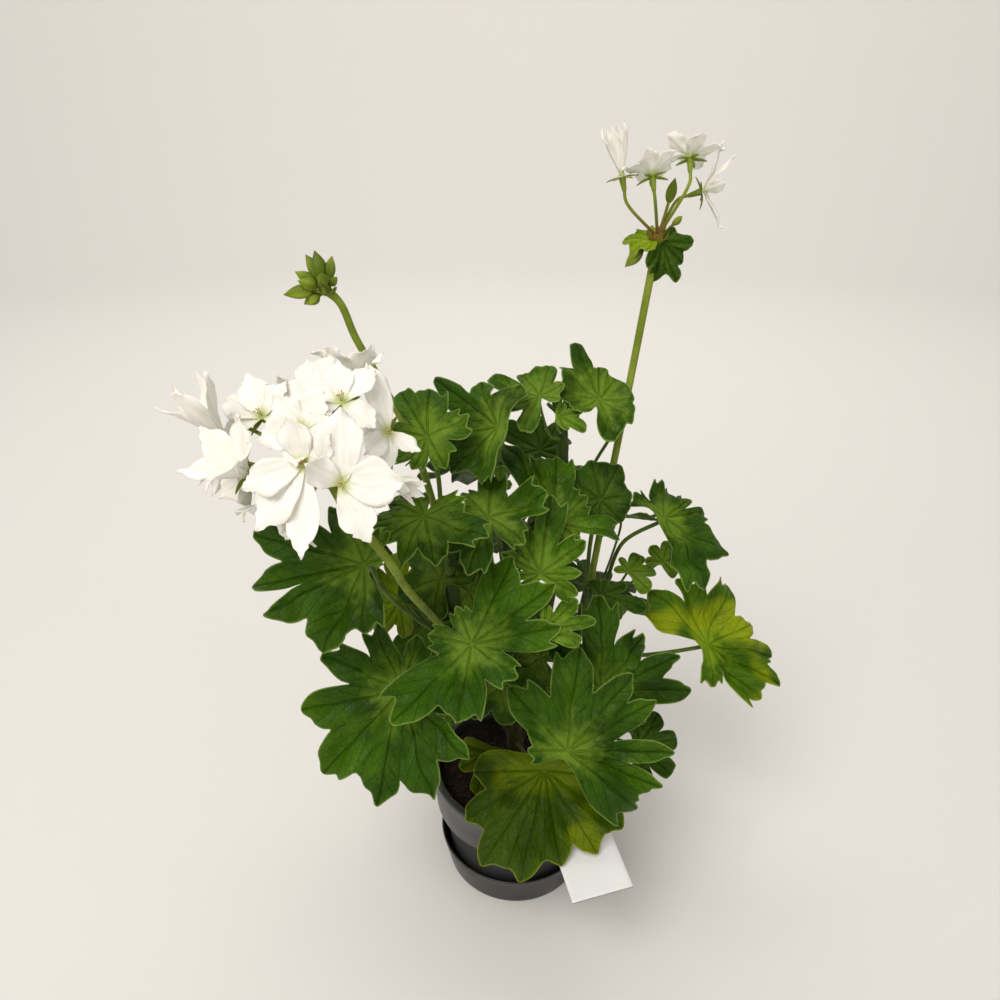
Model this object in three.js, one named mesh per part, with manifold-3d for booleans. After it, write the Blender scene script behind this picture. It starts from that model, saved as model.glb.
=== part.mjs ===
// Potted star-leaved geranium: a small round nursery pot in a shallow cup, soil with branching
// stems, deeply cut leaves on long stalks, and three flower heads on stalks of their own.
// Millimetres, +Z up, the middle of the cup's underside at the origin, the front towards -Y.
import * as THREE from 'three';
import { mergeVertices } from 'three/addons/utils/BufferGeometryUtils.js';
import Module from 'manifold-3d';

const wasm = await Module();
wasm.setup();

// Driving dimensions of the pot and its cup
const POT_RIM_RADIUS = 52.5;
const POT_HEIGHT = 76;
const POT_WALL = 1.5;
const POT_LIP = 4.3;
const COLLAR_HEIGHT = 26;
const COLLAR_STEP = 4.3;
const COLLAR_TAPER = 1.7;
const RIM_BEAD_HEIGHT = 4;
const RIM_BEAD_DEPTH = 0.6;
const RIM_BEAD_FLARE = 2;
const POT_BASE_RADIUS = 41.5;
const DRAIN_HOLES = 5;
const DRAIN_HOLE_RADIUS = 4;
const DRAIN_HOLE_RING = 26;
const CUP_BASE_RADIUS = 44;
const CUP_RIM_RADIUS = 48.6;
const CUP_HEIGHT = 24;
const CUP_WALL = 1.5;
const CUP_FOOT_CHAMFER = 1;
const GAP = 0.3;
const ROUND_SIDES = 26;

// Driving dimensions of the soil and the label
const SOIL_DEPTH_BELOW_RIM = 9;
const SOIL_MOUND = 2.5;
const LABEL_WIDTH = 35;
const LABEL_THICKNESS = 0.8;
const LABEL_DIRECTION = -73.5;
const LABEL_ASIDE = 17.7;

// Driving dimensions of the plant
const BLADE_THICKNESS = 0.8;
const VEIN_RIDGE = 0.07;
const LIFT_POWER = 1.8;
const CUT_SHARE = 0.6;
const BASAL_CUT_SHARE = 0.2;
const BASAL_HALF_ANGLE = 30;
const VEIN_RING_SHARE = 0.42;
const VALLEY_RING_SHARE = 0.55;
const SHOULDER = 0.92;
const FLANK_RISE = 0.78;
const NARROW_HALF_ANGLE = 21;
const NARROW_PULL = 0.78;
const TOOTHED_RIM = [[-0.74], [-0.42, 0.92], [0, 1], [0.42, 0.92], [0.74]];
const PLAIN_RIM = [[-0.7], [0, 1], [0.7]];
const LEAF_STALK_RADIUS = 1.5;
const STEM_SINK = 22;
const PETAL_THICKNESS = 0.7;
const THROAT_RADIUS = 1.6;
const CALYX_LENGTH = 6;
const SEPAL_LENGTH = 6;
const CALYX_CLEARANCE = 0.4;
const FLOWER_STALK_RADIUS = 0.8;

const UP = new THREE.Vector3(0, 0, 1);

function material(color, roughness) {
  return new THREE.MeshStandardMaterial({ color, roughness, metalness: 0 });
}

const potPlastic = material(0x3c3f40, 0.45);
const cupPlastic = material(0x3f403e, 0.6);
const soilEarth = material(0x17110d, 0.95);
const labelCard = material(0xf2f2ee, 0.5);
const stemGreen = material(0x5f7a1e, 0.6);
const leafGreen = material(0x3f6b22, 0.55);
const leafYellow = material(0x71860f, 0.55);
const petalWhite = material(0xf5f3ea, 0.6);
const flowerGreen = material(0x86961f, 0.55);

function vector(point) {
  return new THREE.Vector3(point[0], point[1], point[2]);
}

function solid(geometry) {
  const bare = geometry.clone();
  bare.deleteAttribute('normal');
  bare.deleteAttribute('uv');
  const welded = mergeVertices(bare, 1e-4);
  const vertProperties = new Float32Array(welded.attributes.position.array);
  const corners = Array.from(welded.index.array);
  const kept = [];
  for (let at = 0; at < corners.length; at += 3) {
    const [a, b, c] = corners.slice(at, at + 3);
    if (a !== b && b !== c && c !== a) kept.push(a, b, c);
  }
  const triVerts = new Uint32Array(kept);
  return new wasm.Manifold(new wasm.Mesh({ numProp: 3, vertProperties, triVerts }));
}

function placed(geometry, position, direction) {
  const turn = new THREE.Quaternion().setFromUnitVectors(new THREE.Vector3(0, 1, 0), direction);
  geometry.applyQuaternion(turn);
  geometry.translate(position.x, position.y, position.z);
  return solid(geometry);
}

function joined(pieces) {
  return pieces.reduce((whole, piece) => whole.add(piece));
}

function meshOf(name, body, surface) {
  const made = body.getMesh();
  const geometry = new THREE.BufferGeometry();
  geometry.setAttribute('position', new THREE.BufferAttribute(made.vertProperties, 3));
  geometry.setIndex(new THREE.BufferAttribute(made.triVerts, 1));
  geometry.computeVertexNormals();
  const mesh = new THREE.Mesh(geometry, surface);
  mesh.name = name;
  return mesh;
}

function lathe(profile, sides = ROUND_SIDES) {
  const points = profile.map(([radius, height]) => new THREE.Vector2(radius, height));
  const geometry = new THREE.LatheGeometry(points, sides);
  geometry.rotateX(Math.PI / 2);
  return solid(geometry);
}

function tube(points, radius, sides, steps) {
  const outline = new THREE.Shape();
  for (let side = 0; side < sides; side += 1) {
    const angle = (2 * Math.PI * side) / sides;
    const x = radius * Math.cos(angle);
    const y = radius * Math.sin(angle);
    if (side === 0) outline.moveTo(x, y);
    else outline.lineTo(x, y);
  }
  const path = new THREE.CatmullRomCurve3(points, false, 'centripetal');
  return solid(new THREE.ExtrudeGeometry(outline, { steps, extrudePath: path, bevelEnabled: false }));
}

// The frame of a leaf or bloom: its normal from azimuth and elevation in degrees, then the
// direction to its right and the direction uphill
function faceFrame(azimuth, elevation) {
  const turn = THREE.MathUtils.degToRad(azimuth);
  const rise = THREE.MathUtils.degToRad(elevation);
  const level = Math.cos(rise);
  const normal = new THREE.Vector3(level * Math.cos(turn), level * Math.sin(turn), Math.sin(rise));
  const right = new THREE.Vector3().crossVectors(UP, normal).normalize();
  const uphill = new THREE.Vector3().crossVectors(normal, right);
  return { normal, right, uphill };
}

// Two like faces a thickness apart, closed round their outline
function sheetIndex(count, faces, outline) {
  const index = [];
  for (const [a, b, c] of faces) {
    index.push(a, b, c);
    index.push(count + a, count + c, count + b);
  }
  outline.forEach((a, place) => {
    const b = outline[(place + 1) % outline.length];
    index.push(a, count + a, count + b);
    index.push(a, count + b, b);
  });
  return index;
}

function indexed(points, index) {
  const geometry = new THREE.BufferGeometry().setFromPoints(points);
  geometry.setIndex(index);
  return solid(geometry);
}

// Pot, cup, soil and label
const collarFoot = POT_HEIGHT - COLLAR_HEIGHT;
const potFloor = CUP_WALL + GAP;
const collarFootRadius = POT_RIM_RADIUS - COLLAR_TAPER;
const bodyTopRadius = collarFootRadius - COLLAR_STEP;
const beadFoot = POT_HEIGHT - RIM_BEAD_HEIGHT;
const beadRadius = POT_RIM_RADIUS - RIM_BEAD_DEPTH;
const soilTopRadius = collarFootRadius - POT_WALL;
const innerFloor = potFloor + POT_WALL;

function potBody() {
  const shell = lathe([
    [0, potFloor],
    [POT_BASE_RADIUS, potFloor],
    [bodyTopRadius, collarFoot],
    [collarFootRadius, collarFoot],
    [beadRadius, beadFoot],
    [POT_RIM_RADIUS, beadFoot + RIM_BEAD_FLARE],
    [POT_RIM_RADIUS, POT_HEIGHT],
    [POT_RIM_RADIUS - POT_LIP, POT_HEIGHT],
    [POT_RIM_RADIUS - POT_LIP, POT_HEIGHT - POT_WALL],
    [beadRadius - POT_WALL, beadFoot],
    [collarFootRadius - POT_WALL, collarFoot + POT_WALL],
    [bodyTopRadius - POT_WALL, collarFoot + POT_WALL],
    [POT_BASE_RADIUS - POT_WALL, innerFloor],
    [0, innerFloor],
  ]);
  const holes = [];
  for (let hole = 0; hole < DRAIN_HOLES; hole += 1) {
    const angle = (2 * Math.PI * hole) / DRAIN_HOLES;
    const cutter = new THREE.CylinderGeometry(DRAIN_HOLE_RADIUS, DRAIN_HOLE_RADIUS, 3 * POT_WALL, 10);
    const x = DRAIN_HOLE_RING * Math.cos(angle);
    const y = DRAIN_HOLE_RING * Math.sin(angle);
    const middle = new THREE.Vector3(x, y, potFloor + POT_WALL / 2);
    holes.push(placed(cutter, middle, UP));
  }
  return holes.reduce((whole, hole) => whole.subtract(hole), shell);
}

function cupBody() {
  return lathe([
    [0, 0],
    [CUP_BASE_RADIUS - CUP_FOOT_CHAMFER, 0],
    [CUP_BASE_RADIUS, CUP_FOOT_CHAMFER],
    [CUP_RIM_RADIUS, CUP_HEIGHT],
    [CUP_RIM_RADIUS - CUP_WALL, CUP_HEIGHT],
    [CUP_BASE_RADIUS - CUP_WALL, CUP_WALL],
    [0, CUP_WALL],
  ]);
}

// The label's bent middle line, as distances outwards and heights, and its half widths along it
const labelLine = [[20, 50], [33, 68], [43, 78.6], [54, 80], [72, 76.6], [98.6, 71]];
const labelHalves = [[15, 5], [44, 6], [58, LABEL_WIDTH / 2], [110, LABEL_WIDTH / 2]];

function labelBody(gap) {
  const line = new THREE.SplineCurve(labelLine.map(([out, up]) => new THREE.Vector2(out, up)));
  const steps = 11;
  const upper = [];
  const lower = [];
  for (let step = 0; step <= steps; step += 1) {
    const middle = line.getPointAt(step / steps);
    const along = line.getTangentAt(step / steps);
    const across = new THREE.Vector2(-along.y, along.x).multiplyScalar(LABEL_THICKNESS / 2 + gap);
    upper.push(middle.clone().add(across));
    lower.unshift(middle.clone().sub(across));
  }
  const sheet = new THREE.ExtrudeGeometry(new THREE.Shape([...upper, ...lower]), {
    depth: 2 * LABEL_WIDTH,
    steps: 1,
    bevelEnabled: false,
  });
  sheet.translate(0, 0, -LABEL_WIDTH);
  sheet.rotateX(Math.PI / 2);
  const right = labelHalves.map(([out, half]) => new THREE.Vector2(out, -half - gap));
  const left = labelHalves.map(([out, half]) => new THREE.Vector2(out, half + gap)).reverse();
  const plan = new THREE.ExtrudeGeometry(new THREE.Shape([...right, ...left]), {
    depth: 2 * POT_HEIGHT,
    steps: 1,
    bevelEnabled: false,
  });
  const turn = THREE.MathUtils.degToRad(LABEL_DIRECTION);
  const aside = [-LABEL_ASIDE * Math.sin(turn), LABEL_ASIDE * Math.cos(turn), 0];
  return solid(sheet).intersect(solid(plan)).rotate([0, 0, LABEL_DIRECTION]).translate(aside);
}

const soilEdge = POT_HEIGHT - SOIL_DEPTH_BELOW_RIM;

function soilBody(stems) {
  const radiusAt = (height) => {
    const share = (height - innerFloor) / (collarFoot - innerFloor);
    return POT_BASE_RADIUS - POT_WALL - GAP + share * (bodyTopRadius - POT_BASE_RADIUS);
  };
  const soil = lathe([
    [0, innerFloor + GAP],
    [radiusAt(innerFloor + GAP) - GAP, innerFloor + GAP],
    [radiusAt(collarFoot) - GAP, collarFoot],
    [radiusAt(collarFoot) - GAP, collarFoot + POT_WALL + GAP],
    [soilTopRadius - 2 * GAP, collarFoot + POT_WALL + GAP],
    [soilTopRadius - GAP, soilEdge],
    [POT_RIM_RADIUS * 0.6, soilEdge + SOIL_MOUND * 0.8],
    [0, soilEdge + SOIL_MOUND],
  ]);
  return soil.subtract(stems).subtract(labelBody(GAP));
}

// Stems: a short trunk that forks into five shoots
const shoots = {
  trunk: { radius: 5.2, line: [[0, 4, 67 - STEM_SINK], [0, 4, 80], [-1, 4, 104], [0, 5, 118]] },
  left: {
    radius: 3.6,
    line: [[0, 4, 92], [-14, -5, 130], [-28, -16, 170], [-34, -20, 210], [-35, -18, 250]],
  },
  centre: { radius: 3.4, line: [[0, 4, 104], [-2, 0, 150], [-4, -6, 200], [-7, -8, 240], [-9, -9, 274]] },
  crown: { radius: 3.5, line: [[0, 5, 104], [11, 8, 150], [19, 8, 200], [23, 4, 255], [21, 1, 308]] },
  right: { radius: 3.7, line: [[0, 5, 88], [22, 11, 125], [36, 14, 165], [42, 13, 202]] },
  back: { radius: 3.5, line: [[0, 5, 86], [-4, 24, 128], [-6, 36, 178], [-4, 40, 226]] },
};

// Young leaves still folded against the tips of the shoots
const youngLeaves = [
  { at: [-9, -10, 274], face: [215, 40],
    lobes: [[30, 8, 2], [80, 12, 3], [130, 12, 3], [180, 9, 2]] },
  { at: [-36, -18, 251], face: [160, 35],
    lobes: [[20, 8, 2], [70, 12, 4], [120, 12, 4], [160, 7, 2]] },
  { at: [21, 2, 308], face: [70, 40],
    lobes: [[20, 9, 2], [70, 13, 4], [120, 13, 4], [170, 9, 2]] },
  { at: [-4, 40, 227], face: [70, 45],
    lobes: [[10, 10, 2], [60, 14, 4], [120, 14, 4], [170, 10, 2]] },
];

// Shaded leaves deep inside the plant, which stay with the shoots that they grow from
const innerLeaves = [
  { at: [-41, -22, 227], face: [250, 40], shoot: 'left', height: 205,
    lobes: [[20, 20, 0], [75, 23, 0], [140, 25, 0], [210, 25, 0], [275, 22, 0]] },
  { at: [-49, -6, 184], face: [255, 35], shoot: 'left', height: 160,
    lobes: [[30, 22, 0], [95, 25, 0], [160, 26, 0], [225, 25, 0], [290, 21, 0]] },
  { at: [-10, -12, 146], face: [262, 35], shoot: 'trunk', height: 112,
    lobes: [[20, 22, 0], [85, 25, 0], [150, 26, 0], [220, 25, 0], [290, 22, 0]] },
  { at: [13, -4, 161], face: [275, 35], shoot: 'crown', height: 132,
    lobes: [[10, 24, 0], [70, 26, 0], [140, 25, 0], [210, 24, 0], [285, 24, 0]] },
  { at: [-26, -16, 214], face: [262, 45], shoot: 'centre', height: 176,
    lobes: [[20, 20, 0], [85, 24, 0], [150, 24, 0], [220, 22, 0], [290, 20, 0]] },
  { at: [-40, -14, 134], face: [245, 40], shoot: 'left', height: 118,
    lobes: [[15, 21, 0], [80, 25, 0], [150, 26, 0], [215, 24, 0], [280, 19, 0]] },
];

function shootBody(extra) {
  return joined(Object.values(shoots).map(({ line, radius }) =>
    tube(line.map(vector), radius + extra, 6, line.length + 1)));
}

function stemBody() {
  const pieces = [shootBody(0)];
  for (const { at, face, lobes } of youngLeaves) pieces.push(bladeBody(at, face, lobes));
  for (const leaf of innerLeaves) {
    const { normal } = faceFrame(leaf.face[0], leaf.face[1]);
    const [, ...line] = stalkPoints(leaf, normal);
    pieces.push(bladeBody(leaf.at, leaf.face, leaf.lobes));
    pieces.push(tube([vector(leaf.at), ...line], LEAF_STALK_RADIUS, 3, 4));
  }
  return joined(pieces);
}

function shootPoint(name, height) {
  const line = new THREE.CatmullRomCurve3(shoots[name].line.map(vector), false, 'centripetal');
  const samples = line.getPoints(80);
  return samples.reduce((best, point) =>
    (Math.abs(point.z - height) < Math.abs(best.z - height) ? point : best));
}

// Leaf blade: lobes as [angle, reach, lift, gap], the angle counted anticlockwise on the upper
// face from its right, the gap being the radius of the cut after that lobe. Its first point is
// the junction with the stalk, and core is the ring of points next to that.
function blade(at, face, lobes, toothed) {
  const frame = faceFrame(face[0], face[1]);
  const count = lobes.length;
  const turnOf = (lobe) => lobes[lobe % count][0] + (lobe >= count ? 360 : 0);
  const halfAfter = (lobe) => {
    const half = (turnOf(lobe + 1) - turnOf(lobe)) / 2;
    return lobe === count - 1 ? Math.min(half, BASAL_HALF_ANGLE) : half;
  };
  const points = [{ reach: 0, angle: 0, height: 0 }];
  const outline = [];
  const ring = [];
  const heightAt = (reach, fraction, lift, aside) => {
    const ridge = VEIN_RIDGE * reach * Math.sin((Math.PI / 2) * aside) ** 2;
    return lift * fraction ** LIFT_POWER + ridge;
  };
  const add = (list, angle, reach, height) => {
    points.push({ reach, angle, height });
    list.push(points.length - 1);
  };
  lobes.forEach(([angle, reach, lift, gap], lobe) => {
    const before = lobe === 0 ? Math.min(halfAfter(0), BASAL_HALF_ANGLE) : halfAfter(lobe - 1);
    const after = halfAfter(lobe);
    const next = lobes[(lobe + 1) % count];
    const last = lobe === count - 1;
    const least = Math.min(reach, next[1]);
    const cut = last ? least * BASAL_CUT_SHARE : (gap ?? least * CUT_SHARE);
    const previous = lobes[(lobe + count - 1) % count];
    const cutBefore = previous[3] ?? Math.min(reach, previous[1]) * CUT_SHARE;
    const cutAngle = last ? (turnOf(lobe) + turnOf(lobe + 1)) / 2 : angle + after;
    const cutLift = last ? 0 : (lift + next[2]) * 0.25;
    const veinReach = reach * VEIN_RING_SHARE;
    if (toothed) add(ring, angle, veinReach, heightAt(veinReach, VEIN_RING_SHARE, lift, 0));
    for (const [side, share] of toothed ? TOOTHED_RIM : PLAIN_RIM) {
      const basal = (lobe === 0 && side < 0) || (last && side > 0);
      const foot = basal ? 0.5 : (side < 0 ? cutBefore : cut) / reach;
      const fraction = share ?? foot + (SHOULDER - foot) * FLANK_RISE;
      const half = side < 0 ? before : after;
      const turn = angle + side * half * (half < NARROW_HALF_ANGLE ? NARROW_PULL : 1);
      const height = heightAt(reach * fraction, fraction, lift, Math.abs(side));
      add(outline, turn, reach * fraction, height);
    }
    const valleyReach = cut * VALLEY_RING_SHARE;
    if (toothed) {
      add(ring, cutAngle, valleyReach, heightAt(valleyReach, CUT_SHARE * VALLEY_RING_SHARE, cutLift, 1));
    }
    add(outline, cutAngle, cut, heightAt(cut, CUT_SHARE, cutLift, 1));
  });
  const faces = [];
  const step = outline.length / count;
  for (let lobe = 0; toothed && lobe < count; lobe += 1) {
    const vein = ring[2 * lobe];
    const valley = ring[2 * lobe + 1];
    const valleyBefore = ring[(2 * lobe - 1 + ring.length) % ring.length];
    const first = lobe * step;
    const cutBefore = outline[(first - 1 + outline.length) % outline.length];
    const edge = [cutBefore, ...outline.slice(first, first + step)];
    faces.push([valleyBefore, edge[0], edge[1]], [valleyBefore, edge[1], vein]);
    for (let place = 1; place < edge.length - 2; place += 1) {
      faces.push([vein, edge[place], edge[place + 1]]);
    }
    const lastTooth = edge[edge.length - 2];
    faces.push([vein, lastTooth, valley], [valley, lastTooth, edge[edge.length - 1]]);
  }
  const place = ({ reach, angle, height }, offset) => {
    const turn = THREE.MathUtils.degToRad(angle);
    return vector(at)
      .addScaledVector(frame.right, reach * Math.cos(turn))
      .addScaledVector(frame.uphill, reach * Math.sin(turn))
      .addScaledVector(frame.normal, height + offset);
  };
  const top = points.map((point) => place(point, BLADE_THICKNESS / 2));
  const bottom = points.map((point) => place(point, -BLADE_THICKNESS / 2));
  return { frame, top, bottom, faces, outline, core: toothed ? ring : outline };
}

function fan(centre, core) {
  return core.map((a, spot) => [centre, a, core[(spot + 1) % core.length]]);
}

// Blade without a stalk, for the young leaves and the bracts
function bladeBody(at, face, lobes) {
  const { top, bottom, faces, outline, core } = blade(at, face, lobes, false);
  const index = sheetIndex(top.length, [...faces, ...fan(0, core)], outline);
  return indexed([...top, ...bottom], index);
}

// The points of the stalk's middle line, from under the junction to just inside the shoot
function stalkPoints(leaf, normal) {
  const { at, shoot, height, via = [] } = leaf;
  const axis = shootPoint(shoot, height);
  const junction = vector(at);
  const from = via.length ? vector(via[via.length - 1]) : junction.clone();
  const away = new THREE.Vector3(from.x - axis.x, from.y - axis.y, 0).normalize();
  const end = axis.clone().addScaledVector(away, 0.5 * shoots[shoot].radius);
  const bow = end.clone().addScaledVector(away, 0.7 * shoots[shoot].radius + 4).addScaledVector(UP, 2);
  return [
    junction.clone().addScaledVector(normal, -BLADE_THICKNESS / 2),
    junction.clone().addScaledVector(normal, -5),
    ...via.map(vector),
    bow,
    end,
  ];
}

// Leaf: the blade, open under its junction, where a three-sided stalk grows out of it and runs
// to the shoot, cut off just clear of its skin
function leafBody(leaf, shootsGrown) {
  const { frame, top, bottom, faces, outline, core } = blade(leaf.at, leaf.face, leaf.lobes, !leaf.plain);
  const count = top.length;
  const index = sheetIndex(count, faces, outline);
  for (const [a, b, c] of fan(0, core)) index.push(a, b, c);
  const radius = leaf.stalk ?? LEAF_STALK_RADIUS;
  const line = new THREE.CatmullRomCurve3(stalkPoints(leaf, frame.normal), false, 'centripetal');
  const steps = 4 + (leaf.via ?? []).length;
  const frames = line.computeFrenetFrames(steps, false);
  const points = [...top, ...bottom];
  const sides = [0, 1, 2];
  const ringAt = (step) => sides.map((side) => 2 * count + 3 * step + side);
  const first = core[0];
  const start = bottom[first].clone().sub(bottom[0]);
  const turned = Math.atan2(start.dot(frames.binormals[0]), start.dot(frames.normals[0]));
  for (let step = 0; step <= steps; step += 1) {
    const centre = line.getPointAt(step / steps);
    for (const side of sides) {
      const turn = turned - (2 * Math.PI * side) / 3;
      points.push(centre.clone()
        .addScaledVector(frames.normals[step], radius * Math.cos(turn))
        .addScaledVector(frames.binormals[step], radius * Math.sin(turn)));
    }
  }
  const inner = ringAt(0);
  const around = core.length;
  let side = 0;
  for (let spot = 0; spot < around; spot += 1) {
    const a = count + core[spot];
    const b = count + core[(spot + 1) % around];
    index.push(inner[side % 3], b, a);
    if ((spot + 1) * 3 >= (side + 1) * around) {
      index.push(inner[side % 3], inner[(side + 1) % 3], b);
      side += 1;
    }
  }
  for (let step = 0; step < steps; step += 1) {
    const near = ringAt(step);
    const far = ringAt(step + 1);
    for (const spot of sides) {
      const after = (spot + 1) % 3;
      index.push(near[spot], far[spot], far[after], near[spot], far[after], near[after]);
    }
  }
  const [a, b, c] = ringAt(steps);
  index.push(a, c, b);
  return indexed(points, index).subtract(shootsGrown);
}

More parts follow.
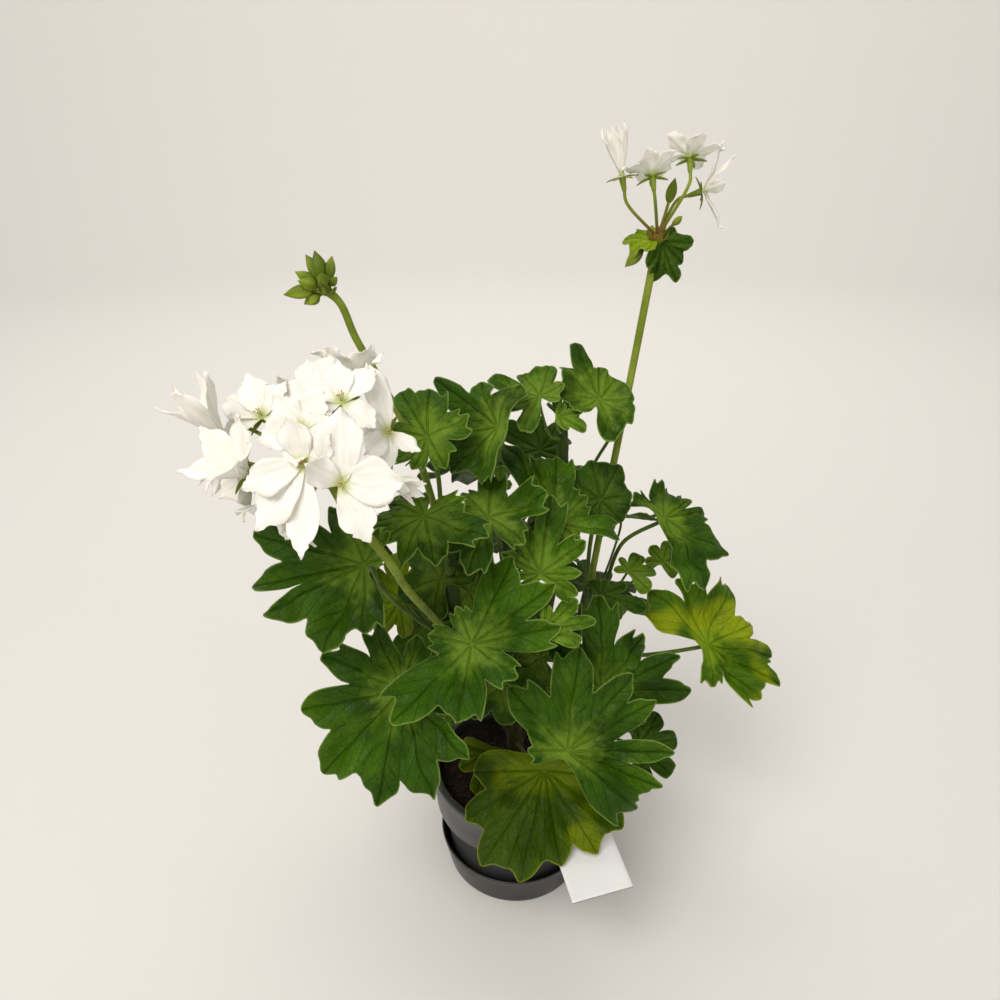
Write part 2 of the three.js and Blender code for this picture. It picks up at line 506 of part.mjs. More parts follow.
// Leaves, each with its junction, face, lobes and the shoot and height that its stalk grows from
const leaves = {
  leaf_left_wide: {
    at: [-67, -80, 272], face: [255, 32], shoot: 'left', height: 190,
    via: [[-64, -58, 244], [-53, -37, 213]],
    lobes: [[24, 9, 0], [66, 17, -2], [122, 34, -4], [174, 54, 0, 37], [198, 57, -4, 27],
      [213, 51, 0, 33], [250, 43, -2, 30], [280, 29, 0]],
  },
  leaf_left_low: {
    at: [-57, -72, 196], face: [255, 30], shoot: 'left', height: 150, via: [[-44, -45, 180]],
    lobes: [[80, 28, 0, 14], [120, 35, 0, 22], [166, 43, 2, 27], [200, 54, 0, 39], [233, 60, -3, 44],
      [264, 58, -5, 41], [293, 54, -5, 36], [324, 45, -2, 20], [352, 30, 0]],
  },
  leaf_centre_folded: {
    at: [-23, -70, 222], face: [262, 35], shoot: 'centre', height: 165, via: [[-16, -40, 200]],
    lobes: [[173, 21, 2, 16], [229, 50, 4, 31], [263, 37, -4, 17], [330, 26, 4, 14], [376, 42, -2, 28],
      [400, 48, 0, 36], [429, 45, 0, 15], [476, 19, 2]],
  },
  leaf_front_right: {
    at: [23, -78, 163], face: [275, 32], shoot: 'right', height: 112, via: [[20, -46, 138]],
    lobes: [[-42, 46, -3, 39], [-24, 51, -2, 27], [-3, 52, 5, 23], [25, 51, -2, 38], [45, 50, 0, 31],
      [80, 51, 0, 28], [130, 42, -3, 22], [172, 20, 4]],
  },
  leaf_right_low: {
    at: [43, -45, 173], face: [285, 35], shoot: 'right', height: 132, via: [[36, -20, 152]],
    lobes: [[-45, 30, 0, 20], [-10, 50, 0, 34], [12, 48, 0, 26], [39, 38, 0, 24], [82, 49, 2, 26],
      [130, 38, 0, 20], [170, 28, 0]],
  },
  leaf_left_mid: {
    at: [-43, -62, 285], face: [250, 65], shoot: 'left', height: 232, via: [[-38, -38, 262]],
    lobes: [[128, 17, -2], [163, 26, -2], [195, 29, 2, 17], [232, 24, 0, 17], [266, 25, -2, 18],
      [302, 25, 0, 17], [352, 32, 0, 18], [402, 20, 0]],
  },
  leaf_centre_mid: {
    at: [-15, -50, 278], face: [265, 55], shoot: 'centre', height: 226, via: [[-11, -30, 258]],
    lobes: [[-32, 20, -1, 15], [27, 29, 0, 13], [92, 24, 2, 14], [140, 18, 0], [178, 20, -2, 15],
      [214, 26, -3, 20], [254, 28, -3]],
  },
  leaf_front_mid: {
    at: [9, -50, 248], face: [275, 35], shoot: 'centre', height: 188, via: [[5, -26, 222]],
    lobes: [[-30, 21, -3], [-2, 20, -2], [32, 27, 0], [80, 38, 2], [113, 32, 2], [150, 21, 0],
      [182, 13, -2], [215, 14, -4]],
  },
  leaf_centre_high: {
    at: [17, -30, 265], face: [280, 50], shoot: 'crown', height: 212, via: [[16, -14, 244]],
    lobes: [[-45, 16, 0, 12], [-19, 33, 0, 17], [32, 21, 0, 20], [80, 36, 2, 34],
      [100, 39, 2, 30], [114, 48, 4, 22], [152, 22, 0], [190, 17, -3]],
  },
  leaf_left_high: {
    at: [-42, -42, 314], face: [250, 55], shoot: 'left', height: 244, via: [[-39, -30, 288]],
    lobes: [[-45, 18, 0, 9], [46, 21, 0, 16], [108, 29, 0, 24], [134, 36, -4], [176, 20, 0],
      [225, 20, -2], [268, 18, 0]],
  },
  leaf_crown_left: {
    at: [-11, -30, 314], face: [225, 35], shoot: 'centre', height: 260, via: [[-14, -26, 288]],
    lobes: [[100, 24, -4], [140, 28, 0, 22], [166, 44, 4, 27], [202, 37, 0, 28],
      [240, 32, 0, 24], [275, 27, -2]],
  },
  leaf_crown_young: {
    at: [9, -10, 322], face: [265, 65], shoot: 'crown', height: 296, plain: true, stalk: 0.9,
    lobes: [[-18, 10, 2, 9], [32, 13, 0, 10], [80, 21, 0, 20], [117, 21, 0, 10],
      [165, 26, 3, 10], [207, 22, -2, 11], [246, 20, -6]],
  },
  leaf_crown_right: {
    at: [38, -5, 319], face: [280, 60], shoot: 'crown', height: 226, plain: true, stalk: 1.1,
    via: [[46, 0, 302], [38, 7, 276]],
    lobes: [[-82, 23, -2, 20], [-49, 20, 0, 17], [-8, 17, 0, 15], [45, 17, 0, 16],
      [78, 20, 2, 18], [97, 36, 4, 21], [131, 25, 3, 21], [160, 21, 0, 15], [205, 16, -2]],
  },
  leaf_crown_small: {
    at: [18, -12, 313], face: [285, 50], shoot: 'crown', height: 300, plain: true, stalk: 0.8,
    lobes: [[-75, 9, 0], [-35, 15, 0], [5, 12, 0], [60, 8, 0]],
  },
  leaf_crown_dark: {
    at: [11, 14, 284], face: [270, 50], shoot: 'crown', height: 236, plain: true,
    lobes: [[-20, 14, 0], [20, 18, 0], [55, 20, 0], [97, 20, 0], [147, 26, 0], [190, 20, 0]],
  },
  leaf_right_dark: {
    at: [41, -12, 268], face: [270, 30], shoot: 'right', height: 174, plain: true, via: [[39, 3, 232]],
    lobes: [[-92, 19, 0, 17], [-44, 16, 0, 15], [10, 16, 0, 15], [62, 20, 0, 19],
      [103, 21, 0, 19], [146, 22, 0, 18], [181, 20, 0, 17], [228, 18, 0]],
  },
  leaf_right_high: {
    at: [82, 20, 240], face: [300, 50], shoot: 'right', height: 188, via: [[60, 19, 225]],
    lobes: [[-81, 45, -4, 33], [-47, 43, -2, 23], [-7, 30, 0], [15, 24, 0], [60, 26, -6], [110, 22, -6]],
  },
  leaf_right_far: {
    at: [110, 0, 167], face: [300, 45], shoot: 'right', height: 148, via: [[76, 0, 160]],
    lobes: [[249, 24, 0, 16], [298, 45, 0, 40], [316, 55, -2, 40], [334, 48, 3, 26], [362, 34, 3, 26],
      [400, 44, 0, 30], [445, 42, 0, 28], [478, 46, -2]],
  },
  leaf_right_small: {
    at: [62, 6, 214], face: [285, 55], shoot: 'right', height: 178, plain: true, stalk: 0.9,
    lobes: [[-62, 16, 0], [-10, 16, 0], [40, 15, 0], [110, 9, 0], [160, 8, 0]],
  },
  leaf_right_back: {
    at: [89, 40, 199], face: [285, 40], shoot: 'right', height: 168, plain: true, stalk: 1,
    via: [[66, 34, 184]],
    lobes: [[-59, 12, 0], [0, 20, 0], [60, 14, 0], [117, 12, 0], [170, 11, 0]],
  },
  leaf_right_mid: {
    at: [46, -4, 205], face: [280, 50], shoot: 'right', height: 176, plain: true, stalk: 1,
    lobes: [[-62, 17, -2], [-22, 27, 0], [15, 16, 0], [60, 10, 0], [120, 10, 0]],
  },
  leaf_right_edge: {
    at: [60, 34, 233], face: [95, 62], shoot: 'right', height: 184, plain: true, stalk: 0.9,
    lobes: [[110, 16, 0], [150, 22, 0], [182, 23, 0], [212, 22, 0], [250, 16, 0]],
  },
  leaf_right_under: {
    at: [70, -30, 119], face: [290, 40], shoot: 'right', height: 106, plain: true, stalk: 1,
    lobes: [[-100, 20, 0], [-52, 26, 0], [-5, 24, 0], [42, 22, 0], [85, 20, 0]],
  },
  leaf_front_drooping: {
    at: [15, -42, 112], face: [268, 46], shoot: 'trunk', height: 90, plain: true, stalk: 1.2,
    lobes: [[183, 40, 0, 34], [212, 51, 0, 46], [236, 61, -2, 55], [258, 59, -4, 47], [281, 50, -3, 41],
      [305, 52, -3, 46], [327, 52, 0, 34], [355, 38, 0]],
    yellow: true,
  },
  leaf_front_old: {
    at: [-16, -18, 101], face: [262, 50], shoot: 'trunk', height: 84, plain: true, stalk: 1,
    lobes: [[170, 18, 0], [212, 20, 0], [257, 25, 0], [280, 31, 0], [306, 25, 0], [345, 18, 0]],
    yellow: true,
  },
  leaf_left_yellow: {
    at: [-62, -22, 214], face: [250, 40], shoot: 'left', height: 182, plain: true, stalk: 1.1,
    lobes: [[10, 20, 0], [60, 24, 0], [110, 26, 0], [158, 27, 0], [205, 22, 0], [250, 22, 0],
      [290, 20, 0]],
    yellow: true,
  },
  leaf_young_front: {
    at: [11, -66, 226], face: [275, 45], shoot: 'centre', height: 172, plain: true, stalk: 1,
    via: [[6, -40, 206]],
    lobes: [[-12, 18, 0], [10, 25, 0], [42, 23, 0], [85, 13, 0], [130, 8, 0]],
  },
  leaf_back_left: {
    at: [-48, 42, 190], face: [130, 35], shoot: 'back', height: 150, plain: true,
    lobes: [[110, 31, 0], [160, 42, 0], [215, 47, -3], [270, 50, -5], [325, 47, -3], [380, 42, 0],
      [430, 31, 0]],
  },
  leaf_back_middle: {
    at: [5, 66, 205], face: [92, 40], shoot: 'back', height: 160, plain: true,
    lobes: [[110, 31, 0], [160, 40, 0], [215, 47, -3], [270, 49, -5], [325, 47, -3], [380, 40, 0],
      [430, 31, 0]],
  },
  leaf_back_right: {
    at: [54, 56, 174], face: [58, 35], shoot: 'back', height: 132, plain: true,
    lobes: [[110, 23, 0], [160, 28, 0], [215, 46, -3], [270, 48, -5], [325, 46, -3], [380, 39, 0],
      [430, 30, 0]],
  },
  leaf_back_high: {
    at: [-22, 46, 262], face: [105, 55], shoot: 'back', height: 214, plain: true,
    lobes: [[110, 26, 0], [160, 36, 0], [215, 41, -2], [270, 43, -4], [325, 41, -2], [380, 36, 0],
      [430, 26, 0]],
  },
  leaf_back_crown: {
    at: [28, 40, 258], face: [75, 50], shoot: 'crown', height: 216, plain: true,
    lobes: [[110, 25, 0], [160, 32, 0], [215, 37, -2], [270, 39, -4], [325, 37, -2], [380, 32, 0],
      [430, 25, 0]],
  },
  leaf_left_far: {
    at: [-80, 14, 230], face: [180, 38], shoot: 'left', height: 180, plain: true,
    lobes: [[120, 33, 0], [180, 40, -1], [240, 45, -4], [300, 45, -4], [360, 40, -1],
      [420, 33, 0]],
  },
  leaf_back_low: {
    at: [0, 74, 132], face: [90, 25], shoot: 'back', height: 108, plain: true,
    lobes: [[120, 35, 0], [180, 44, -1], [240, 48, -4], [300, 48, -4], [360, 44, -1],
      [420, 35, 0]],
  },
};

// Corolla: petals as [angle, length, width, rise, bend]. Each grows from a small throat in its
// own direction, rising from the bloom's plane by its rise and bending back by its bend, in degrees.
const petalShape = [[0.34, 0.62], [0.7, 1], [1, 0]];
const TIP = 2 * petalShape.length;

function petalRows(centre, frame, [angle, length, width, rise, bend], halfTurn) {
  const turn = THREE.MathUtils.degToRad(angle);
  const directed = (away) => frame.right.clone()
    .multiplyScalar(Math.cos(turn + away))
    .addScaledVector(frame.uphill, Math.sin(turn + away));
  const outward = directed(0);
  const aside = new THREE.Vector3().crossVectors(frame.normal, outward);
  const rows = [-halfTurn, halfTurn].map((away) => ({
    point: centre.clone().addScaledVector(directed(away), THROAT_RADIUS),
    face: frame.normal,
  }));
  let out = THROAT_RADIUS;
  let up = 0;
  let done = 0;
  for (const [share, spread] of petalShape) {
    const slope = THREE.MathUtils.degToRad(rise - bend * (share + done) / 2);
    out += Math.cos(slope) * length * (share - done);
    up += Math.sin(slope) * length * (share - done);
    done = share;
    const here = THREE.MathUtils.degToRad(rise - bend * share);
    const face = frame.normal.clone().multiplyScalar(Math.cos(here));
    face.addScaledVector(outward, -Math.sin(here));
    const spine = centre.clone().addScaledVector(outward, out).addScaledVector(frame.normal, up);
    const half = (spread * width) / 2;
    for (const side of spread > 0 ? [-half, half] : [0]) {
      rows.push({ point: spine.clone().addScaledVector(aside, side), face });
    }
  }
  return rows;
}

function corollaBody({ at, face, petals }) {
  const frame = faceFrame(face[0], face[1]);
  const centre = vector(at);
  const sorted = [...petals].sort((one, other) => one[0] - other[0]);
  const spots = [{ point: centre, face: frame.normal }];
  const faces = [];
  const outline = [];
  const perPetal = TIP + 1;
  sorted.forEach((petal, place) => {
    const next = sorted[(place + 1) % sorted.length][0] + (place + 1 === sorted.length ? 360 : 0);
    const before = place === 0 ? sorted[sorted.length - 1][0] - 360 : sorted[place - 1][0];
    const space = Math.min(next - petal[0], petal[0] - before);
    const halfTurn = THREE.MathUtils.degToRad(Math.min(26, 0.42 * space));
    const first = spots.length;
    spots.push(...petalRows(centre, frame, petal, halfTurn));
    for (let row = 0; row < TIP - 2; row += 2) {
      const corner = first + row;
      faces.push([corner, corner + 2, corner + 3], [corner, corner + 3, corner + 1]);
    }
    faces.push([first + TIP - 2, first + TIP, first + TIP - 1]);
    const nextFirst = place + 1 === sorted.length ? 1 : first + perPetal;
    faces.push([0, first, first + 1], [0, first + 1, nextFirst]);
    for (let row = 0; row < TIP; row += 2) outline.push(first + row);
    outline.push(first + TIP);
    for (let row = TIP - 1; row > 0; row -= 2) outline.push(first + row);
  });
  const side = (offset) => spots.map((spot) => spot.point.clone().addScaledVector(spot.face, offset));
  const points = [...side(PETAL_THICKNESS / 2), ...side(-PETAL_THICKNESS / 2)];
  return indexed(points, sheetIndex(spots.length, faces, outline));
}

function star(length, width, rise, bend, first = 90) {
  return [0, 1, 2, 3, 4].map((petal) => [first + 72 * petal, length, width, rise, bend]);
}

// Blooms whose petals cross are one node
const blooms = {
  petals_left_far: [{ at: [-112, -93, 335], face: [188, 60], petals: star(25, 8, 72, 10, 80) }],
  petals_left_top: [
    { at: [-100, -82, 339], face: [250, 50],
      petals: [[170, 20, 13, 14, 40], [212, 17, 11, 6, 20], [132, 18, 12, 26, 34], [62, 15, 11, 34, 30],
        [8, 15, 11, 16, 30]] },
    { at: [-79, -80, 345], face: [262, 60],
      petals: [[112, 17, 12, 32, 40], [72, 18, 12, 34, 24], [172, 15, 11, 20, 40], [24, 14, 11, 24, 30],
        [240, 13, 10, 10, 30]] },
    { at: [-70, -64, 347], face: [80, 66], petals: star(18, 11, 50, 14, 75) },
  ],
  petals_left_cup: [{ at: [-101, -107, 326], face: [235, 56], petals: star(22, 12, 62, 12, 90) }],
  petals_left_behind: [{ at: [-90, -61, 336], face: [110, 62], petals: star(18, 9, 48, 16, 54) }],
  petals_left_front: [
    { at: [-77, -116, 335], face: [266, 22],
      petals: [[273, 31, 12, 10, 8], [236, 27, 15, 16, 20], [204, 22, 13, 24, 20], [98, 16, 12, 34, 20],
        [48, 15, 12, 30, 10]] },
    { at: [-64, -120, 329], face: [274, 20],
      petals: [[88, 25, 17, 20, 22], [4, 20, 18, 16, 20], [-34, 17, 11, 8, 8], [-66, 21, 13, 12, 8],
        [142, 16, 11, 40, 0]] },
    { at: [-79, -106, 343], face: [262, 42], petals: star(14, 12, 26, 24, 64) },
    { at: [-66, -97, 350], face: [270, 62],
      petals: [[100, 17, 12, 30, 40], [50, 16, 12, 26, 30], [155, 15, 12, 20, 40], [215, 11, 8, 20, 20],
        [325, 14, 11, 0, 40]] },
    { at: [-52, -90, 336], face: [300, 20],
      petals: [[97, 26, 11, 24, 44], [148, 14, 11, 24, 20], [-45, 13, 7, 20, 0], [-112, 14, 10, 16, 0],
        [205, 14, 10, 30, 0]] },
  ],
  petals_left_opening: [{ at: [-52, -94, 318], face: [335, -8], petals: star(14, 5.2, 70, -12, 90) }],
  petals_left_low: [
    { at: [-92, -96, 309], face: [235, -42], petals: star(19, 12, 36, 10, 30) },
    { at: [-104, -92, 318], face: [225, -12], petals: star(16, 11, 50, 12, 0) },
  ],
  petals_left_drooping: [{ at: [-116, -84, 325], face: [200, -65], petals: star(18, 5.5, 74, -8, 60) }],
  petals_top_left: [
    { at: [45, 18, 417], face: [180, 76], petals: star(21, 6.2, 75, -6, 60) },
    { at: [58, 14, 417], face: [100, 58], petals: star(13, 9, 44, 40, 58) },
  ],
  petals_top_right: [
    { at: [76, 22, 424], face: [85, 56],
      petals: [[30, 14, 9, 50, 40], [100, 12, 9, 40, 50], [172, 14, 10, 30, 40], [240, 12, 9, 30, 40],
        [310, 12, 9, 36, 40]] },
    { at: [84, 24, 410], face: [340, 20],
      petals: [[75, 21, 8, 40, 0], [112, 20, 7, 56, 0], [180, 15, 6, 50, 0], [268, 18, 10, 14, 0],
        [302, 16, 9, 8, 0]] },
  ],
};

// Calyx: a narrow cup whose rim runs out into five pointed sepals
function calyxBody(mouth, foot, { normal, right, uphill }) {
  const around = (centre, turn, radius, drop) => centre.clone()
    .addScaledVector(right, radius * Math.cos(turn))
    .addScaledVector(uphill, radius * Math.sin(turn))
    .addScaledVector(normal, -drop);
  const points = [foot, mouth];
  const index = [];
  for (let corner = 0; corner < 5; corner += 1) {
    const turn = (2 * Math.PI * corner) / 5;
    points.push(around(foot, turn, 1, 0));
    points.push(around(mouth, turn, 1.6, 0));
    points.push(around(mouth, turn + Math.PI / 5, SEPAL_LENGTH, 1.6));
  }
  for (let corner = 0; corner < 5; corner += 1) {
    const [base, rim, tip] = [2, 3, 4].map((first) => first + 3 * corner);
    const [nextBase, nextRim] = [2, 3].map((first) => first + 3 * ((corner + 1) % 5));
    index.push(0, nextBase, base, 1, rim, tip, 1, tip, nextRim);
    index.push(base, nextBase, tip, base, tip, rim, nextBase, nextRim, tip);
  }
  return indexed(points, index);
}

// A bloom's own stalk with its calyx
function bloomStalk(hub, { at, face }) {
  const { normal, right, uphill } = faceFrame(face[0], face[1]);
  const mouth = vector(at).addScaledVector(normal, -PETAL_THICKNESS / 2 - CALYX_CLEARANCE);
  const foot = mouth.clone().addScaledVector(normal, -CALYX_LENGTH);
  const pieces = [calyxBody(mouth, foot, { normal, right, uphill })];
  const bow = foot.clone().addScaledVector(normal, -5);
  pieces.push(tube([hub, bow, foot.clone().addScaledVector(normal, 0.6)], FLOWER_STALK_RADIUS, 3, 3));
  return joined(pieces);
}

function budBody(hub, [x, y, z], length, radius) {
  const direction = new THREE.Vector3(x, y, z).normalize();
  const neck = hub.clone().addScaledVector(direction, Math.hypot(x, y, z));
  const outline = [[0, 0], [1, 0.36], [0.72, 0.75], [0, 1]];
  const points = outline.map(([wide, high]) => new THREE.Vector2(wide * radius, high * length));
  const bud = new THREE.LatheGeometry(points, 4);
  const twig = new THREE.CylinderGeometry(0.8, 0.8, Math.hypot(x, y, z) + 1, 3);
  const middle = hub.clone().add(neck).multiplyScalar(0.5);
  return joined([placed(bud, neck, direction), placed(twig, middle, direction)]);
}

function hubBall(hub, radius) {
  const ball = new THREE.IcosahedronGeometry(radius, 0);
  ball.translate(hub.x, hub.y, hub.z);
  return solid(ball);
}

// Green of the flower heads: each head's stalk with its hub, bloom stalks, calyces and buds, each
// bud as [x, y, z from the hub, length, radius]
const heads = {
  left_head_stalks: {
    hub: [-79, -84, 318], ball: 3.2, radius: 1.9,
    line: [[-70, -90, 303], [-57, -88, 281], [-52, -67, 251], [-42, -41, 214]],
    shoot: 'left', height: 170, blooms: 'petals_left',
    buds: [[-4, 4, 9, 9, 2.2], [-6, 8, 12, 9, 2.2], [2, 5, 12, 8, 2], [8, -10, -8, 8, 1.8],
      [-4, -14, -8, 9, 1.8], [-10, 4, -6, 9, 2]],
  },
  top_head_stalks: {
    hub: [64, 20, 390], ball: 3, radius: 2,
    line: [[63, 20, 379], [56, 16, 322], [50, 14, 273]],
    shoot: 'right', height: 201, blooms: 'petals_top',
    buds: [[4.5, 4, 15, 11, 2.3], [-7, -1, -6, 10.5, 2.6], [-6, 6, -5, 8, 2], [8, 6, 5, 7, 1.6]],
  },
  bud_head: {
    hub: [-90, 0, 370], ball: 3, radius: 1.9,
    line: [[-84, 0, 364], [-78, -1, 348], [-68, -5, 330], [-52, -10, 296]],
    shoot: 'left', height: 230, blooms: 'none',
    buds: [[-2.3, 1.2, 4.4, 12.3, 2.8], [-0.9, 0.8, 4.6, 12.6, 3.1], [1.2, 1.4, 4.2, 10.6, 2.5],
      [2.2, 0.2, 2, 5, 2], [-4, 0.5, 2.4, 10.8, 2.7], [-5.6, -1.4, -0.3, 13, 3],
      [-3.6, -0.4, -2.2, 8, 2.5], [-3, -1.7, -2.4, 6.4, 2.2], [-3.4, -2.4, 1.8, 9, 2.7],
      [0.2, -2.6, 2.8, 7.6, 2.6], [-2, 3.2, 2.4, 9, 2.6]],
  },
};

// Ruffled bracts under the upper head, in the leaves' own form
const bracts = [
  { at: [62, 18, 389], face: [215, 62],
    lobes: [[110, 11, 0, 9], [150, 17, 2, 13], [190, 18, -3, 12], [235, 13, -3, 9], [290, 9, 0]] },
  { at: [66, 19, 388.5], face: [285, 12],
    lobes: [[-124, 14, 3, 11], [-99, 19, -3, 15], [-73, 20, 3, 14], [-42, 16, -3, 12], [-8, 14, 3, 10],
      [34, 9, 0]] },
];

function headBody(head, shootsGrown) {
  const hub = vector(head.hub);
  const line = [hub, ...head.line.map(vector), shootPoint(head.shoot, head.height)];
  const pieces = [hubBall(hub, head.ball)];
  pieces.push(tube(line, head.radius, 5, 2 * line.length).subtract(shootsGrown));
  for (const [name, bunch] of Object.entries(blooms)) {
    if (name.startsWith(head.blooms)) pieces.push(...bunch.map((bloom) => bloomStalk(hub, bloom)));
  }
  for (const [x, y, z, length, radius] of head.buds) {
    pieces.push(budBody(hub, [x, y, z], length, radius));
  }
  return joined(pieces);
}

const stems = stemBody();
const shootsGrown = shootBody(GAP);
const plant = new THREE.Group();

plant.add(meshOf('cup', cupBody(), cupPlastic));
plant.add(meshOf('pot', potBody(), potPlastic));
plant.add(meshOf('soil', soilBody(shootsGrown), soilEarth));
plant.add(meshOf('label', labelBody(0), labelCard));
plant.add(meshOf('stems', stems, stemGreen));
for (const [name, leaf] of Object.entries(leaves)) {
  plant.add(meshOf(name, leafBody(leaf, shootsGrown), leaf.yellow ? leafYellow : leafGreen));
}
for (const [name, head] of Object.entries(heads)) {
  const green = headBody(head, shootsGrown);
  const whole = name === 'top_head_stalks'
    ? joined([green, ...bracts.map((bract) => bladeBody(bract.at, bract.face, bract.lobes))])
    : green;
  plant.add(meshOf(name, whole, flowerGreen));
}
for (const [name, bunch] of Object.entries(blooms)) {
  plant.add(meshOf(name, joined(bunch.map(corollaBody)), petalWhite));
}

export default plant;
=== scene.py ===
# Potted star-leaved geranium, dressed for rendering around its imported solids. The sections follow
# the plant from the cup that it stands in to the flowers. Sizes are millimetres, made metres as
# each mesh is built.
import math

import bpy
import numpy as np
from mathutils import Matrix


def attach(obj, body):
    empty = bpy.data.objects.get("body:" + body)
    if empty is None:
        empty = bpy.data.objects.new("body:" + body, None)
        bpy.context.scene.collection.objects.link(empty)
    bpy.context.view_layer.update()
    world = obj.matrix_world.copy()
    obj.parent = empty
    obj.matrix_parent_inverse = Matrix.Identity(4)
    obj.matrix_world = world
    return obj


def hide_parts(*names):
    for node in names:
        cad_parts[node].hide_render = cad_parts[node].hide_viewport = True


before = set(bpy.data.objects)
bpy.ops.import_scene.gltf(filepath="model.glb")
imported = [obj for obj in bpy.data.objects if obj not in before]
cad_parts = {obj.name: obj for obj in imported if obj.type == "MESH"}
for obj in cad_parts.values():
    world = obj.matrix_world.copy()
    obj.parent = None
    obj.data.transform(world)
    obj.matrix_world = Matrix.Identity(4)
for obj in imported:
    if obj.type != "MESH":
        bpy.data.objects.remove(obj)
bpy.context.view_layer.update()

# Camera
# It looks down at the plant from the front, a little above the leaves, as a person at a bench does.
camera_data = bpy.data.cameras.new("front_view")
camera_data.sensor_width = 36
camera_data.lens = 27
camera = bpy.data.objects.new("front_view", camera_data)
camera.location = (-0.010, -0.350, 0.440)
camera.rotation_euler = (math.radians(90 - 27), 0, 0)
bpy.context.scene.collection.objects.link(camera)
bpy.context.scene.camera = camera


# Studio
# A pale floor that curves up all round into a lit pale wall, four large soft lamps and a soft sky.
def colour(code):
    """A colour given as hexadecimal sRGB, as the linear numbers that shaders take."""
    shares = [int(code[at:at + 2], 16) / 255 for at in (1, 3, 5)]
    linear = [s / 12.92 if s <= 0.04045 else ((s + 0.055) / 1.055) ** 2.4 for s in shares]
    return (*linear, 1.0)


def circle(radius, height, sides):
    """Points round the upright axis."""
    turns = np.linspace(0, 2 * math.pi, sides, endpoint=False)
    return [(radius * math.cos(turn), radius * math.sin(turn), height) for turn in turns]


def ring_faces(rings, sides, inwards=False):
    """Four-sided faces between rings of points that follow one another."""
    faces = []
    for ring in range(rings - 1):
        near, far = ring * sides, (ring + 1) * sides
        for spot in range(sides):
            after = (spot + 1) % sides
            if inwards:
                faces.append((near + spot, far + spot, far + after, near + after))
            else:
                faces.append((near + spot, near + after, far + after, far + spot))
    return faces


FLOOR_RADIUS = 2.2
WALL_CURVE = 1.6
WALL_TOP = 3.2
STUDIO_SIDES = 96
CURVE_STEPS = 24
studio_profile = [(0.001, 0.0), (FLOOR_RADIUS, 0.0)]
studio_profile += [
    (FLOOR_RADIUS + WALL_CURVE * math.sin(turn), WALL_CURVE * (1 - math.cos(turn)))
    for turn in np.linspace(0, math.pi / 2, CURVE_STEPS)[1:]]
studio_profile.append((FLOOR_RADIUS + WALL_CURVE, WALL_TOP))
studio_points = [point for ring in studio_profile for point in circle(*ring, STUDIO_SIDES)]
studio_faces = ring_faces(len(studio_profile), STUDIO_SIDES, inwards=True)
studio_mesh = bpy.data.meshes.new("studio")
studio_mesh.from_pydata(studio_points, [], studio_faces)
studio_mesh.polygons.foreach_set("use_smooth", [True] * len(studio_faces))
studio_paint = bpy.data.materials.new("studio_paint")
studio_paint.use_nodes = True
studio_shader = studio_paint.node_tree.nodes["Principled BSDF"]
studio_shader.inputs["Base Color"].default_value = colour("#e8e6e3")
studio_shader.inputs["Roughness"].default_value = 0.9
studio_shader.inputs["Specular IOR Level"].default_value = 0.1
studio_mesh.materials.append(studio_paint)
studio = bpy.data.objects.new("studio", studio_mesh)
bpy.context.scene.collection.objects.link(studio)


def soft_lamp(name, place, target, size, power, tint):
    """A square lamp turned to its target."""
    data = bpy.data.lights.new(name, "AREA")
    data.size = size
    data.energy = power
    data.color = colour(tint)[:3]
    lamp = bpy.data.objects.new(name, data)
    lamp.location = place
    x, y, z = (target[axis] - place[axis] for axis in range(3))
    lamp.rotation_euler = (math.atan2(math.hypot(x, y), -z), 0, math.atan2(-x, y))
    bpy.context.scene.collection.objects.link(lamp)


soft_lamp("overhead_lamp", (-0.5, -0.9, 1.5), (0, 0, 0.15), 0.9, 18, "#fffaf4")
soft_lamp("front_lamp", (0.1, -1.5, 0.6), (0, -0.1, 0.05), 1.4, 3.2, "#fffbf6")
soft_lamp("side_lamp", (1.1, -1.1, 0.7), (0, -0.1, 0.1), 1.2, 2.5, "#fffdfa")
soft_lamp("backdrop_lamp", (0, 1.0, 2.6), (0, 3.4, 0.9), 2.4, 56, "#fffaf4")
sky = bpy.data.worlds.new("studio_sky")
sky.use_nodes = True
sky.node_tree.nodes["Background"].inputs["Color"].default_value = colour("#fcfaf7")
sky.node_tree.nodes["Background"].inputs["Strength"].default_value = 0.3
bpy.context.scene.world = sky
bpy.context.scene.view_settings.view_transform = "Standard"


